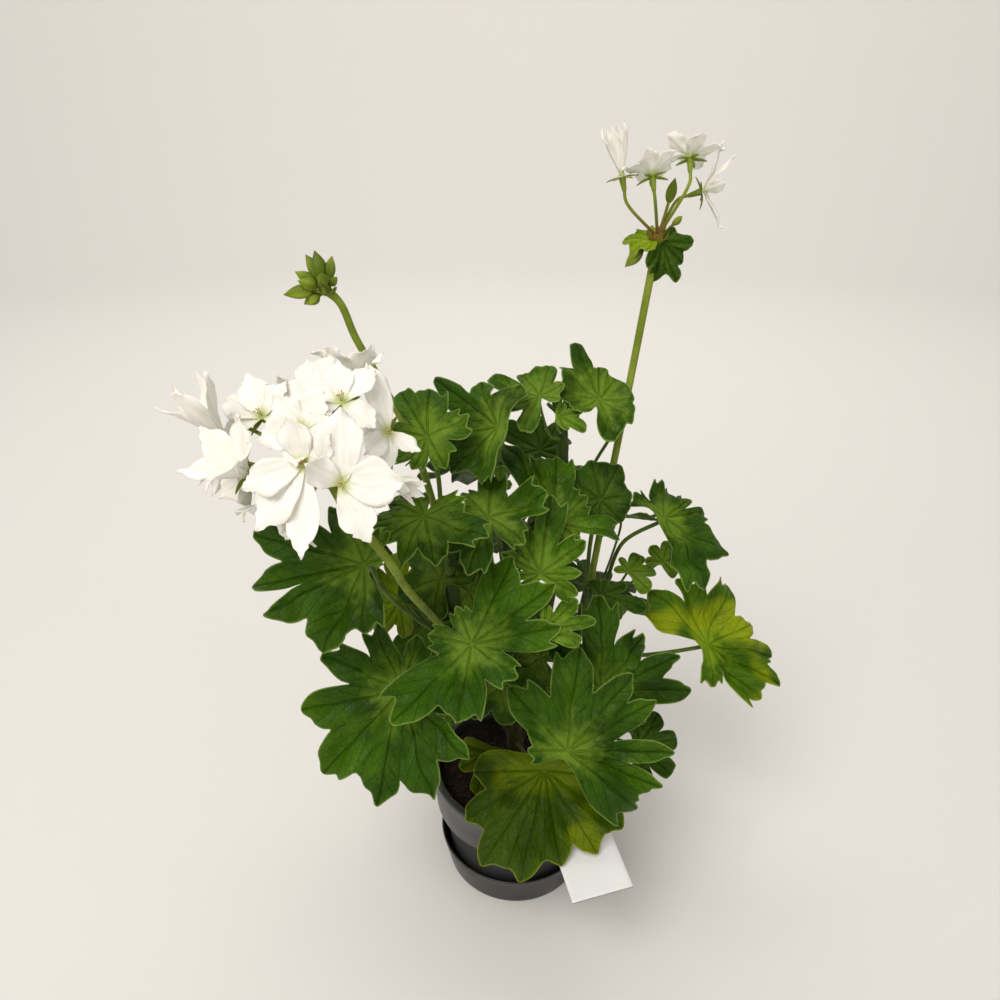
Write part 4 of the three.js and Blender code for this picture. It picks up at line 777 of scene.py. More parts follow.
def blade(at, face, lobes, plain, seed, per_knot):
    """A leaf blade: its points, faces, skin numbers (0 above, 1 below), corner places and rim."""
    random = np.random.default_rng(seed)
    normal, right, uphill = face_frame(*face)
    knots, closed = blade_rim(lobes, plain, random)
    outline = rounded_rim(closed, per_knot)
    count = len(outline)
    turn = np.unwrap(np.arctan2(outline[:, 1], outline[:, 0]))
    turn = np.maximum.accumulate(turn + 1e-5 * np.arange(count))
    reach = np.hypot(outline[:, 0], outline[:, 1])
    outline = np.column_stack([reach * np.cos(turn), reach * np.sin(turn)])
    spot = np.arange(count) / per_knot
    wrapped = np.vstack([knots, knots[:1] + [360, 0, len(lobes), 0, 0, 0]])
    knot_turn = np.interp(spot, np.arange(len(wrapped)), wrapped[:, 0])
    lift = np.interp(spot, np.arange(len(wrapped)), wrapped[:, 4])
    full = np.interp(spot, np.arange(len(wrapped)), wrapped[:, 5])
    angles = np.array([lobe[0] for lobe in lobes] + [lobes[0][0] + 360.0])
    halves = np.diff(angles) / 2
    halves[-1] = min(halves[-1], BASAL_HALF_ANGLE)
    distance = knot_turn[:, None] - angles[None]
    owner = np.argmin(np.abs(distance), axis=1)
    own = distance[np.arange(count), owner]
    half = np.where(own < 0, halves[(owner - 1) % len(lobes)], halves[owner % len(lobes)])
    aside = np.clip(np.abs(own) / half, 0, 1)
    vein_turn = np.radians(angles[owner])
    tangent = np.roll(outline, -1, axis=0) - np.roll(outline, 1, axis=0)
    tangent /= np.maximum(np.linalg.norm(tangent, axis=1), 1e-9)[:, None]
    inward = np.column_stack([-tangent[:, 1], tangent[:, 0]])
    shares = PLAIN_RINGS if plain else RINGS
    slant = np.abs(np.sum(inward * (outline / np.maximum(reach, 1e-6)[:, None]), axis=1))
    band = np.minimum(RIM_BAND, 0.6 * (1 - shares[-1]) * reach * slant)
    flats = [outline * share for share in shares]
    flats += [outline + inward * band[:, None], outline, outline - inward * RIM_OUT]
    ring_shares = [*shares, 0.97, 1.0, 1.0]
    phase = random.uniform(0, 6.28, 2)
    run = np.cumsum(np.linalg.norm(np.diff(outline, axis=0, append=outline[:1]), axis=1))
    wave = sum(high * np.sin(run / length + start) for (high, length), start in zip(RIM_WAVES, phase))
    swells = [(random.uniform(0, 2 * math.pi, 2), random.uniform(*SWELL_LENGTHS),
               random.uniform(*SWELL_HEIGHTS)) for _ in range(SWELLS)]

    def height(flat, share):
        away = np.hypot(flat[:, 0], flat[:, 1])
        across = -flat[:, 0] * np.sin(vein_turn) + flat[:, 1] * np.cos(vein_turn)
        along = flat[:, 0] * np.cos(vein_turn) + flat[:, 1] * np.sin(vein_turn)
        high = lift * (away / full) ** LIFT_POWER
        high = high + RISE_BETWEEN_VEINS * away * np.sin(math.pi / 2 * aside) ** 2
        far = np.clip((away - 5) / 10, 0, 1)
        groove = np.exp(-(across / GROOVE_HALF_WIDTH) ** 2) * np.clip(away / 6, 0, 1)
        rows = (along - SIDE_VEIN_SLANT * np.abs(across)) / SIDE_VEIN_SPACING + 0.5 * (across < 0)
        puckers = np.sin(math.pi * rows) ** 2 * far * (1 - share ** 6)
        swell = sum(size * np.sin(2 * math.pi / length * (flat @ (math.cos(way), math.sin(way))) + start)
                    for (way, start), length, size in swells)
        return (high - GROOVE_DEPTH * groove + PUCKER_HEIGHT * puckers + wave * share ** 4
                + swell * np.clip(away / 18, 0, 1))

    def placed(flat, rise):
        return (np.asarray(at, dtype=float) + flat[:, :1] * right + flat[:, 1:] * uphill
                + np.asarray(rise)[:, None] * normal)

    rises = [height(flat, share) for flat, share in zip(flats, ring_shares)]
    zero = np.zeros((1, 2))
    rings = len(flats) - 1
    sheets = [
        placed(flat, np.asarray(rise) + half_thick)
        for half_thick in (BLADE_HALF_THICKNESS, -BLADE_HALF_THICKNESS)
        for flat, rise in zip([zero, *flats[:-1]], [[0.0], *rises[:-1]])]
    points = np.vstack([*sheets, placed(flats[-1], rises[-1])])
    size = 1 + rings * count
    edge = np.zeros(len(points))
    for start in (1 + (rings - 1) * count, size + 1 + (rings - 1) * count):
        edge[start:start + count] = 1
    edge[2 * size:] = 1
    flat_all = np.vstack([zero] + flats[:-1] + [zero] + flats[:-1] + [flats[-1]])
    faces, skins, owners = [], [], []
    spots = np.arange(count)
    after = (spots + 1) % count

    def strip(first, second, flip, skin):
        quads = np.column_stack([first + spots, second + spots, second + after, first + after])
        faces.extend(map(tuple, quads[:, ::-1] if flip else quads))
        skins.extend([skin] * count)
        owners.extend(spots)

    for base, flip, skin in ((0, False, 0), (size, True, 1)):
        fan = np.column_stack([np.full(count, base), base + 1 + spots, base + 1 + after])
        faces.extend(map(tuple, fan[:, ::-1] if flip else fan))
        skins.extend([skin] * count)
        owners.extend(spots)
        for ring in range(rings - 1):
            strip(base + 1 + ring * count, base + 1 + (ring + 1) * count, flip, skin)
    top_rim, low_rim, outer = 1 + (rings - 1) * count, size + 1 + (rings - 1) * count, 2 * size
    strip(top_rim, outer, False, 0)
    strip(outer, low_rim, False, 1)
    corners = []
    for face_corners, spot_here in zip(faces, owners):
        angle = vein_turn[spot_here]
        c, s = math.cos(angle), math.sin(angle)
        for corner in face_corners:
            x, y = flat_all[corner]
            corners.append(((-x * s + y * c) * 0.01, (x * c + y * s) * 0.01))
    return points, faces, skins, corners, edge


VEIN_HALF_WIDTH = 0.6
VEIN_HALF_WIDTH_BELOW = 0.85
VEIN_SHARE = 0.38
VEIN_SHARE_LOST_IN_HEART = 0.34
NET_SCALE = 330
NET_SHARE = 0.12
HEART_END, HEART_CORE = 29, 5
HEART_SHARE = 0.56
RIM_HIGHLIGHT_SHARE = 0.5


def leaf_skin(name, face, shade, heart, vein, rim, patch, patch_share, below=False):
    """Soft leaf skin. The blade's own map holds each point's place across and along its lobe."""
    skin = Skin(name)
    grown = skin.add("ShaderNodeUVMap", uv_map="Growth")
    parted = skin.add("ShaderNodeSeparateXYZ")
    skin.feed(parted.inputs[0], grown.outputs["UV"])
    wander = skin.times(skin.minus(skin.noise(70, 3), 0.5), 5.0)
    across = skin.plus(skin.times(parted.outputs["X"], 100), skin.times(wander, 0.2))
    across = skin.work("ABSOLUTE", across)
    along = skin.plus(skin.times(parted.outputs["Y"], 100), wander)
    away = skin.work("SQRT", skin.plus(skin.work("POWER", across, 2), skin.work("POWER", along, 2)))
    main = skin.band(across, VEIN_HALF_WIDTH_BELOW if below else VEIN_HALF_WIDTH, 0.1)
    rows = skin.minus(along, skin.times(across, SIDE_VEIN_SLANT))
    rows = skin.work("DIVIDE", rows, SIDE_VEIN_SPACING)
    rows = skin.plus(rows, skin.times(skin.work("LESS_THAN", parted.outputs["X"], 0), 0.5))
    nearest = skin.work("ABSOLUTE", skin.minus(skin.work("FRACT", skin.plus(rows, 0.5)), 0.5))
    side_veins = skin.times(skin.band(nearest, 0.11, 0.0), skin.band(away, 7, 14))
    cells = skin.add("ShaderNodeTexVoronoi", feature="DISTANCE_TO_EDGE")
    cells.inputs["Scale"].default_value = NET_SCALE
    skin.feed(cells.inputs["Vector"], skin.place)
    net = skin.band(cells.outputs["Distance"], 0.09, 0.0)
    lines = skin.work("MAXIMUM", main, skin.times(side_veins, 0.5))
    fingers = skin.plus(away, skin.times(across, 2.2))
    fingers = skin.plus(fingers, skin.times(skin.minus(skin.noise(210, 4), 0.5), 28))
    pale = skin.band(fingers, HEART_END, HEART_CORE)
    tint = skin.blend(skin.band(skin.noise(46, 3), 0.35, 0.68), colour(shade), colour(face))
    patches = skin.times(skin.band(skin.noise(30, 2), 0.45, 0.62), patch_share)
    tint = skin.blend(patches, tint, colour(patch))
    tint = skin.blend(skin.times(net, NET_SHARE), tint, colour(vein))
    tint = skin.blend(skin.times(pale, HEART_SHARE), tint, colour(heart))
    vein_share = skin.minus(VEIN_SHARE, skin.times(pale, VEIN_SHARE_LOST_IN_HEART))
    tint = skin.blend(skin.times(lines, vein_share), tint, colour(vein))
    # Painted highlight: the rim colour is a thin light line round the blade, as light caught on its
    # edge.
    edge = skin.add("ShaderNodeAttribute", attribute_name="Edge")
    tint = skin.blend(skin.times(edge.outputs["Fac"], RIM_HIGHLIGHT_SHARE), tint, colour(rim))
    skin.set(
        Base_Color=tint, Roughness=skin.plus(0.36, skin.times(skin.noise(90, 3), 0.2)),
        Specular_IOR_Level=0.13, Subsurface_Weight=0.2, Subsurface_Radius=(0.0009, 0.0016, 0.0003))
    depth = skin.times(lines, 1.0 if below else -1.0)
    rise = skin.plus(depth, skin.times(net, 0.3 if below else -0.3))
    rise = skin.plus(rise, skin.times(skin.noise(650, 3), 0.35))
    skin.relief(rise, 0.0006, 0.9)
    return skin


# Each tone: face colour, darker blotch colour, heart, vein, the rim's painted highlight, patch colour
# and patch share. The underside below takes the same order.
leaf_tints = {
    "deep": ("#305202", "#203c01", "#7c9c2c", "#1b3400", "#93ad50", "#426806", 0.4),
    "green": ("#365a02", "#254401", "#7f9f2c", "#1f3a00", "#98b254", "#4a7006", 0.5),
    "bright": ("#3c6203", "#2b4e02", "#84a632", "#244400", "#a3bd60", "#50780a", 0.5),
    "shaded": ("#2a4a02", "#1d3801", "#4c6c14", "#162c00", "#7c9840", "#365a04", 0.4),
    "turning": ("#527602", "#365802", "#8aa81e", "#3c5a02", "#a8b848", "#8c9c04", 0.9),
    "fading": ("#3c5601", "#2e4601", "#5a7404", "#344602", "#a0ae14", "#6c7e02", 0.9),
    "yellowing": ("#6c8a04", "#5a7802", "#90a61c", "#4a6604", "#a8b850", "#84960a", 0.6),
}
leaf_tones = {tone: leaf_skin("leaf_" + tone, *tints) for tone, tints in leaf_tints.items()}
under_skin = leaf_skin(
    "leaf_under", "#4a662a", "#3c5620", "#6c8840", "#647f3a", "#8fa75c", "#566f32", 0.4,
    below=True)
stalk_skin = green_stalk("leaf_stalk", "#54701c", "#3e5812", "#5b5024", [0.13], 0.08)
LEAF_STALK_RADIUS = 1.5
STALK_SLIMNESS = 0.78
leaves = {
    "leaf_left_wide": dict(
        at=(-67, -80, 272), face=(255, 32), shoot="left", height=190, tone="deep",
        via=[(-64, -58, 244), (-53, -37, 213)],
        lobes=[(24, 9, 0), (66, 17, -2), (122, 34, -4), (174, 54, 0, 37), (198, 57, -4, 27),
               (213, 51, 0, 33), (250, 43, -2, 30), (280, 29, 0)]),
    "leaf_left_low": dict(
        at=(-57, -72, 196), face=(255, 30), shoot="left", height=150, tone="green",
        via=[(-44, -45, 180)],
        lobes=[(80, 28, 0, 14), (120, 35, 0, 22), (166, 43, 2, 27), (200, 54, 0, 39), (233, 60, -3, 44),
               (264, 58, -5, 41), (293, 54, -5, 36), (324, 45, -2, 20), (352, 30, 0)]),
    "leaf_centre_folded": dict(
        at=(-23, -70, 222), face=(262, 35), shoot="centre", height=165, tone="bright",
        via=[(-16, -40, 200)],
        lobes=[(173, 21, 2, 16), (229, 50, 4, 31), (263, 37, -4, 17), (330, 26, 4, 14),
               (376, 42, -2, 28), (400, 48, 0, 36), (429, 45, 0, 15), (476, 19, 2)]),
    "leaf_front_right": dict(
        at=(23, -78, 163), face=(275, 32), shoot="right", height=112, tone="green",
        via=[(20, -46, 138)],
        lobes=[(-42, 46, -3, 39), (-24, 51, -2, 27), (-3, 52, 5, 23), (25, 51, -2, 38), (45, 50, 0, 31),
               (80, 51, 0, 28), (130, 42, -3, 22), (172, 20, 4)]),
    "leaf_right_low": dict(
        at=(43, -45, 173), face=(285, 35), shoot="right", height=132, tone="deep",
        via=[(36, -20, 152)],
        lobes=[(-45, 30, 0, 20), (-10, 50, 0, 34), (12, 48, 0, 26), (39, 38, 0, 24), (82, 49, 2, 26),
               (130, 38, 0, 20), (170, 28, 0)]),
    "leaf_left_mid": dict(
        at=(-43, -62, 285), face=(250, 65), shoot="left", height=232, tone="green",
        via=[(-38, -38, 262)],
        lobes=[(128, 17, -2), (163, 26, -2), (195, 29, 2, 17), (232, 24, 0, 17), (266, 25, -2, 18),
               (302, 25, 0, 17), (352, 32, 0, 18), (402, 20, 0)]),
    "leaf_centre_mid": dict(
        at=(-15, -50, 278), face=(265, 55), shoot="centre", height=226, tone="green",
        via=[(-11, -30, 258)],
        lobes=[(-32, 20, -1, 15), (27, 29, 0, 13), (92, 24, 2, 14), (140, 18, 0),
               (178, 20, -2, 15), (214, 26, -3, 20), (254, 28, -3)]),
    "leaf_front_mid": dict(
        at=(9, -50, 248), face=(275, 35), shoot="centre", height=188, tone="bright",
        via=[(5, -26, 222)],
        lobes=[(-30, 21, -3), (-2, 20, -2), (32, 27, 0), (80, 38, 2), (113, 32, 2), (150, 21, 0),
               (182, 13, -2), (215, 14, -4)]),
    "leaf_centre_high": dict(
        at=(17, -30, 265), face=(280, 50), shoot="crown", height=212, tone="green",
        via=[(16, -14, 244)],
        lobes=[(-45, 16, 0, 12), (-19, 33, 0, 17), (32, 21, 0, 20), (80, 36, 2, 34),
               (100, 39, 2, 30), (114, 48, 4, 22), (152, 22, 0), (190, 17, -3)]),
    "leaf_left_high": dict(
        at=(-42, -42, 314), face=(250, 55), shoot="left", height=244, tone="green",
        via=[(-39, -30, 288)],
        lobes=[(-45, 18, 0, 9), (46, 21, 0, 16), (108, 29, 0, 24), (134, 36, -4), (176, 20, 0),
               (225, 20, -2), (268, 18, 0)]),
    "leaf_crown_left": dict(
        at=(-11, -30, 314), face=(225, 35), shoot="centre", height=260, tone="deep",
        via=[(-14, -26, 288)],
        lobes=[(100, 24, -4), (140, 28, 0, 22), (166, 44, 4, 27), (202, 37, 0, 28),
               (240, 32, 0, 24), (275, 27, -2)]),
    "leaf_crown_young": dict(
        at=(9, -10, 322), face=(265, 65), shoot="crown", height=296, tone="green",
        plain=True, stalk=0.9,
        lobes=[(-18, 10, 2, 9), (32, 13, 0, 10), (80, 21, 0, 20), (117, 21, 0, 10),
               (165, 26, 3, 10), (207, 22, -2, 11), (246, 20, -6)]),
    "leaf_crown_right": dict(
        at=(38, -5, 319), face=(280, 60), shoot="crown", height=226, tone="green",
        plain=True, stalk=1.1, via=[(46, 0, 302), (38, 7, 276)],
        lobes=[(-82, 23, -2, 20), (-49, 20, 0, 17), (-8, 17, 0, 15), (45, 17, 0, 16),
               (78, 20, 2, 18), (97, 36, 4, 21), (131, 25, 3, 21), (160, 21, 0, 15),
               (205, 16, -2)]),
    "leaf_crown_small": dict(
        at=(18, -12, 313), face=(285, 50), shoot="crown", height=300, tone="bright",
        plain=True, stalk=0.8,
        lobes=[(-75, 9, 0), (-35, 15, 0), (5, 12, 0), (60, 8, 0)]),
    "leaf_crown_dark": dict(
        at=(11, 14, 284), face=(270, 50), shoot="crown", height=236, tone="shaded",
        plain=True,
        lobes=[(-20, 14, 0), (20, 18, 0), (55, 20, 0), (97, 20, 0), (147, 26, 0), (190, 20, 0)]),
    "leaf_right_dark": dict(
        at=(41, -12, 268), face=(270, 30), shoot="right", height=174, tone="shaded",
        plain=True, via=[(39, 3, 232)],
        lobes=[(-92, 19, 0, 17), (-44, 16, 0, 15), (10, 16, 0, 15), (62, 20, 0, 19),
               (103, 21, 0, 19), (146, 22, 0, 18), (181, 20, 0, 17), (228, 18, 0)]),
    "leaf_right_high": dict(
        at=(82, 20, 240), face=(300, 50), shoot="right", height=188, tone="green",
        via=[(60, 19, 225)],
        lobes=[(-81, 45, -4, 33), (-47, 43, -2, 23), (-7, 30, 0), (15, 24, 0), (60, 26, -6),
               (110, 22, -6)]),
    "leaf_right_far": dict(
        at=(110, 0, 167), face=(300, 45), shoot="right", height=148, tone="turning",
        via=[(76, 0, 160)],
        lobes=[(249, 24, 0, 16), (298, 45, 0, 40), (316, 55, -2, 40), (334, 48, 3, 26),
               (362, 34, 3, 26), (400, 44, 0, 30), (445, 42, 0, 28), (478, 46, -2)]),
    "leaf_right_small": dict(
        at=(62, 6, 214), face=(285, 55), shoot="right", height=178, tone="green",
        plain=True, stalk=0.9,
        lobes=[(-62, 16, 0), (-10, 16, 0), (40, 15, 0), (110, 9, 0), (160, 8, 0)]),
    "leaf_right_back": dict(
        at=(89, 40, 199), face=(285, 40), shoot="right", height=168, tone="deep",
        plain=True, stalk=1, via=[(66, 34, 184)],
        lobes=[(-59, 12, 0), (0, 20, 0), (60, 14, 0), (117, 12, 0), (170, 11, 0)]),
    "leaf_right_mid": dict(
        at=(46, -4, 205), face=(280, 50), shoot="right", height=176, tone="shaded",
        plain=True, stalk=1,
        lobes=[(-62, 17, -2), (-22, 27, 0), (15, 16, 0), (60, 10, 0), (120, 10, 0)]),
    "leaf_right_edge": dict(
        at=(60, 34, 233), face=(95, 62), shoot="right", height=184, tone="deep",
        plain=True, stalk=0.9,
        lobes=[(110, 16, 0), (150, 22, 0), (182, 23, 0), (212, 22, 0), (250, 16, 0)]),
    "leaf_right_under": dict(
        at=(70, -30, 119), face=(290, 40), shoot="right", height=106, tone="shaded",
        plain=True, stalk=1,
        lobes=[(-100, 20, 0), (-52, 26, 0), (-5, 24, 0), (42, 22, 0), (85, 20, 0)]),
    "leaf_front_drooping": dict(
        at=(15, -42, 112), face=(268, 46), shoot="trunk", height=90, tone="fading",
        plain=True, stalk=1.2,
        lobes=[(183, 40, 0, 34), (212, 51, 0, 46), (236, 61, -2, 55), (258, 59, -4, 47),
               (281, 50, -3, 41), (305, 52, -3, 46), (327, 52, 0, 34), (355, 38, 0)]),
    "leaf_front_old": dict(
        at=(-16, -18, 101), face=(262, 50), shoot="trunk", height=84, tone="fading",
        plain=True, stalk=1,
        lobes=[(170, 18, 0), (212, 20, 0), (257, 25, 0), (280, 31, 0), (306, 25, 0), (345, 18, 0)]),
    "leaf_left_yellow": dict(
        at=(-62, -22, 214), face=(250, 40), shoot="left", height=182, tone="yellowing",
        plain=True, stalk=1.1,
        lobes=[(10, 20, 0), (60, 24, 0), (110, 26, 0), (158, 27, 0), (205, 22, 0), (250, 22, 0),
               (290, 20, 0)]),
    "leaf_young_front": dict(
        at=(11, -66, 226), face=(275, 45), shoot="centre", height=172, tone="bright",
        plain=True, stalk=1, via=[(6, -40, 206)],
        lobes=[(-12, 18, 0), (10, 25, 0), (42, 23, 0), (85, 13, 0), (130, 8, 0)]),
    "leaf_back_left": dict(
        at=(-48, 42, 190), face=(130, 35), shoot="back", height=150, tone="green",
        plain=True,
        lobes=[(110, 31, 0), (160, 42, 0), (215, 47, -3), (270, 50, -5), (325, 47, -3), (380, 42, 0),
               (430, 31, 0)]),
    "leaf_back_middle": dict(
        at=(5, 66, 205), face=(92, 40), shoot="back", height=160, tone="deep",
        plain=True,
        lobes=[(110, 31, 0), (160, 40, 0), (215, 47, -3), (270, 49, -5), (325, 47, -3), (380, 40, 0),
               (430, 31, 0)]),
    "leaf_back_right": dict(
        at=(54, 56, 174), face=(58, 35), shoot="back", height=132, tone="green",
        plain=True,
        lobes=[(110, 23, 0), (160, 28, 0), (215, 46, -3), (270, 48, -5), (325, 46, -3), (380, 39, 0),
               (430, 30, 0)]),
    "leaf_back_high": dict(
        at=(-22, 46, 262), face=(105, 55), shoot="back", height=214, tone="green",
        plain=True,
        lobes=[(110, 26, 0), (160, 36, 0), (215, 41, -2), (270, 43, -4), (325, 41, -2), (380, 36, 0),
               (430, 26, 0)]),
    "leaf_back_crown": dict(
        at=(28, 40, 258), face=(75, 50), shoot="crown", height=216, tone="deep",
        plain=True,
        lobes=[(110, 25, 0), (160, 32, 0), (215, 37, -2), (270, 39, -4), (325, 37, -2), (380, 32, 0),
               (430, 25, 0)]),
    "leaf_left_far": dict(
        at=(-80, 14, 230), face=(180, 38), shoot="left", height=180, tone="green",
        plain=True,
        lobes=[(120, 33, 0), (180, 40, -1), (240, 45, -4), (300, 45, -4), (360, 40, -1),
               (420, 33, 0)]),
    "leaf_back_low": dict(
        at=(0, 74, 132), face=(90, 25), shoot="back", height=108, tone="deep",
        plain=True,
        lobes=[(120, 35, 0), (180, 44, -1), (240, 48, -4), (300, 48, -4), (360, 44, -1),
               (420, 35, 0)]),
}


def flares(steps, start_swell, start_reach, end_swell, end_reach):
    """A stalk's girth along its line, as shares of its radius: wider near both of its ends."""
    share = np.linspace(0, 1, steps)
    return (1 + start_swell * np.exp(-(share / start_reach) ** 2)
            + end_swell * np.exp(-((1 - share) / end_reach) ** 2))


def leaf_stalk(leaf):
    """A leaf's round stalk, flared under the blade and at the shoot."""
    normal, _, _ = face_frame(*leaf["face"])
    junction = np.asarray(leaf["at"], dtype=float)
    axis = shoot_point(leaf["shoot"], leaf["height"])
    girth = shoots[leaf["shoot"]]["radius"]
    via = [np.asarray(point, dtype=float) for point in leaf.get("via", [])]
    start = via[-1] if via else junction
    away = unit([start[0] - axis[0], start[1] - axis[1], 0])
    end = axis + away * 0.5 * girth
    bow = end + away * (0.7 * girth + 4) + np.array([0, 0, 2.0])
    line = bent_line([junction - 0.1 * normal, junction - 5 * normal, *via, bow, end], 30)
    thick = STALK_SLIMNESS * leaf.get("stalk", LEAF_STALK_RADIUS)
    return tube(line, thick * flares(len(line), 0.45, 0.04, 0.7, 0.09), 10)


def add_blade(piece, leaf, plain, seed, above, beneath):
    """A leaf's blade in a piece, with the numbers of its skins above and beneath."""
    points, faces, sides, corners, edge = blade(
        leaf["at"], leaf["face"], leaf["lobes"], plain, seed,
        PLAIN_RIM_STEPS if plain else RIM_STEPS)
    before = len(piece.faces)
    piece.add(points, faces, 0, corners, edge)
    piece.skin_numbers[before:] = [beneath if side else above for side in sides]


for number, (name, leaf) in enumerate(leaves.items()):
    leaf_piece = Piece()
    add_blade(leaf_piece, leaf, leaf.get("plain", False), 100 + number, 0, 1)
    leaf_piece.add(*leaf_stalk(leaf), skin=2)
    hairy.add(*leaf_stalk(leaf))
    slot = "leaf_yellow" if leaf["tone"] in ("fading", "yellowing") else "leaf_green"
    leaf_piece.grow(
        "veined_" + name, [leaf_tones[leaf["tone"]], under_skin, stalk_skin], slot, name)

inner_leaves = [
    dict(at=(-41, -22, 227), face=(250, 40), shoot="left", height=205,
         lobes=[(20, 20, 0), (75, 23, 0), (140, 25, 0), (210, 25, 0), (275, 22, 0)]),
    dict(at=(-49, -6, 184), face=(255, 35), shoot="left", height=160,
         lobes=[(30, 22, 0), (95, 25, 0), (160, 26, 0), (225, 25, 0), (290, 21, 0)]),
    dict(at=(-10, -12, 146), face=(262, 35), shoot="trunk", height=112,
         lobes=[(20, 22, 0), (85, 25, 0), (150, 26, 0), (220, 25, 0), (290, 22, 0)]),
    dict(at=(13, -4, 161), face=(275, 35), shoot="crown", height=132,
         lobes=[(10, 24, 0), (70, 26, 0), (140, 25, 0), (210, 24, 0), (285, 24, 0)]),
    dict(at=(-26, -16, 214), face=(262, 45), shoot="centre", height=176,
         lobes=[(20, 20, 0), (85, 24, 0), (150, 24, 0), (220, 22, 0), (290, 20, 0)]),
    dict(at=(-40, -14, 134), face=(245, 40), shoot="left", height=118,
         lobes=[(15, 21, 0), (80, 25, 0), (150, 26, 0), (215, 24, 0), (280, 19, 0)]),
]
young_leaves = [
    dict(at=(-9, -10, 274), face=(215, 40), lobes=[(30, 8, 2), (80, 12, 3), (130, 12, 3), (180, 9, 2)]),
    dict(at=(-36, -18, 251), face=(160, 35), lobes=[(20, 8, 2), (70, 12, 4), (120, 12, 4), (160, 7, 2)]),
    dict(at=(21, 2, 308), face=(70, 40), lobes=[(20, 9, 2), (70, 13, 4), (120, 13, 4), (170, 9, 2)]),
    dict(at=(-4, 40, 227), face=(70, 45), lobes=[(10, 10, 2), (60, 14, 4), (120, 14, 4), (170, 10, 2)]),
]
STEM_SKINS = [stem_skin, under_skin, leaf_tones["bright"], leaf_tones["deep"]]
BENEATH, YOUNG, SHADED = 1, 2, 3
for number, small in enumerate(young_leaves + inner_leaves):
    above = YOUNG if number < len(young_leaves) else SHADED
    add_blade(stem_piece, small, True, 300 + number, above, BENEATH)
for inner in inner_leaves:
    stem_piece.add(*leaf_stalk(inner))
stem_piece.grow("rooted_stems", STEM_SKINS, "stem_green", "stems")


# Flower heads, green parts
# Each head is a long hairy stalk that ends in a small hub with bracts. From the hub grow slim
# flower stalks, each with a narrow calyx of five pointed sepals, and stalks with pointed buds.
CALYX_LENGTH = 6.0
CALYX_SETBACK = 0.75
CALYX_PROFILE = [(-0.6, 0.7), (0, 0.95), (1.4, 1.15), (3.2, 1.3), (5.0, 1.55), (5.9, 1.75), (6.0, 1.5)]
SEPAL_REACH = 7.8
SEPAL_WIDTHS = [1.5, 1.9, 2.1, 2.0, 1.7, 1.25, 0.75, 0.15]
SEPAL_THICKNESS = 0.35
SEPAL_UNEVEN_REACHES = (0.88, 1.05)
SEPAL_DROP = 0.35
SEPAL_DROOPS = (-0.4, 2.2)
FLOWER_STALK_RADIUS = 0.75
HEAD_STALK_SLIMNESS = 0.95
HUB_SCALES = 9
SCALE_WIDTHS = [2.2, 2.6, 2.5, 2.1, 1.5, 0.9, 0.2]
SCALE_THICKNESS = 0.4
SCALE_REACH = 2.2
SCALE_RISES = (0.5, 3.0)


def star(length, width, rise, bend, first):
    """Five like petals, as (angle, length, width, rise, bend)."""
    return [(first + 72 * petal, length, width, rise, bend) for petal in range(5)]


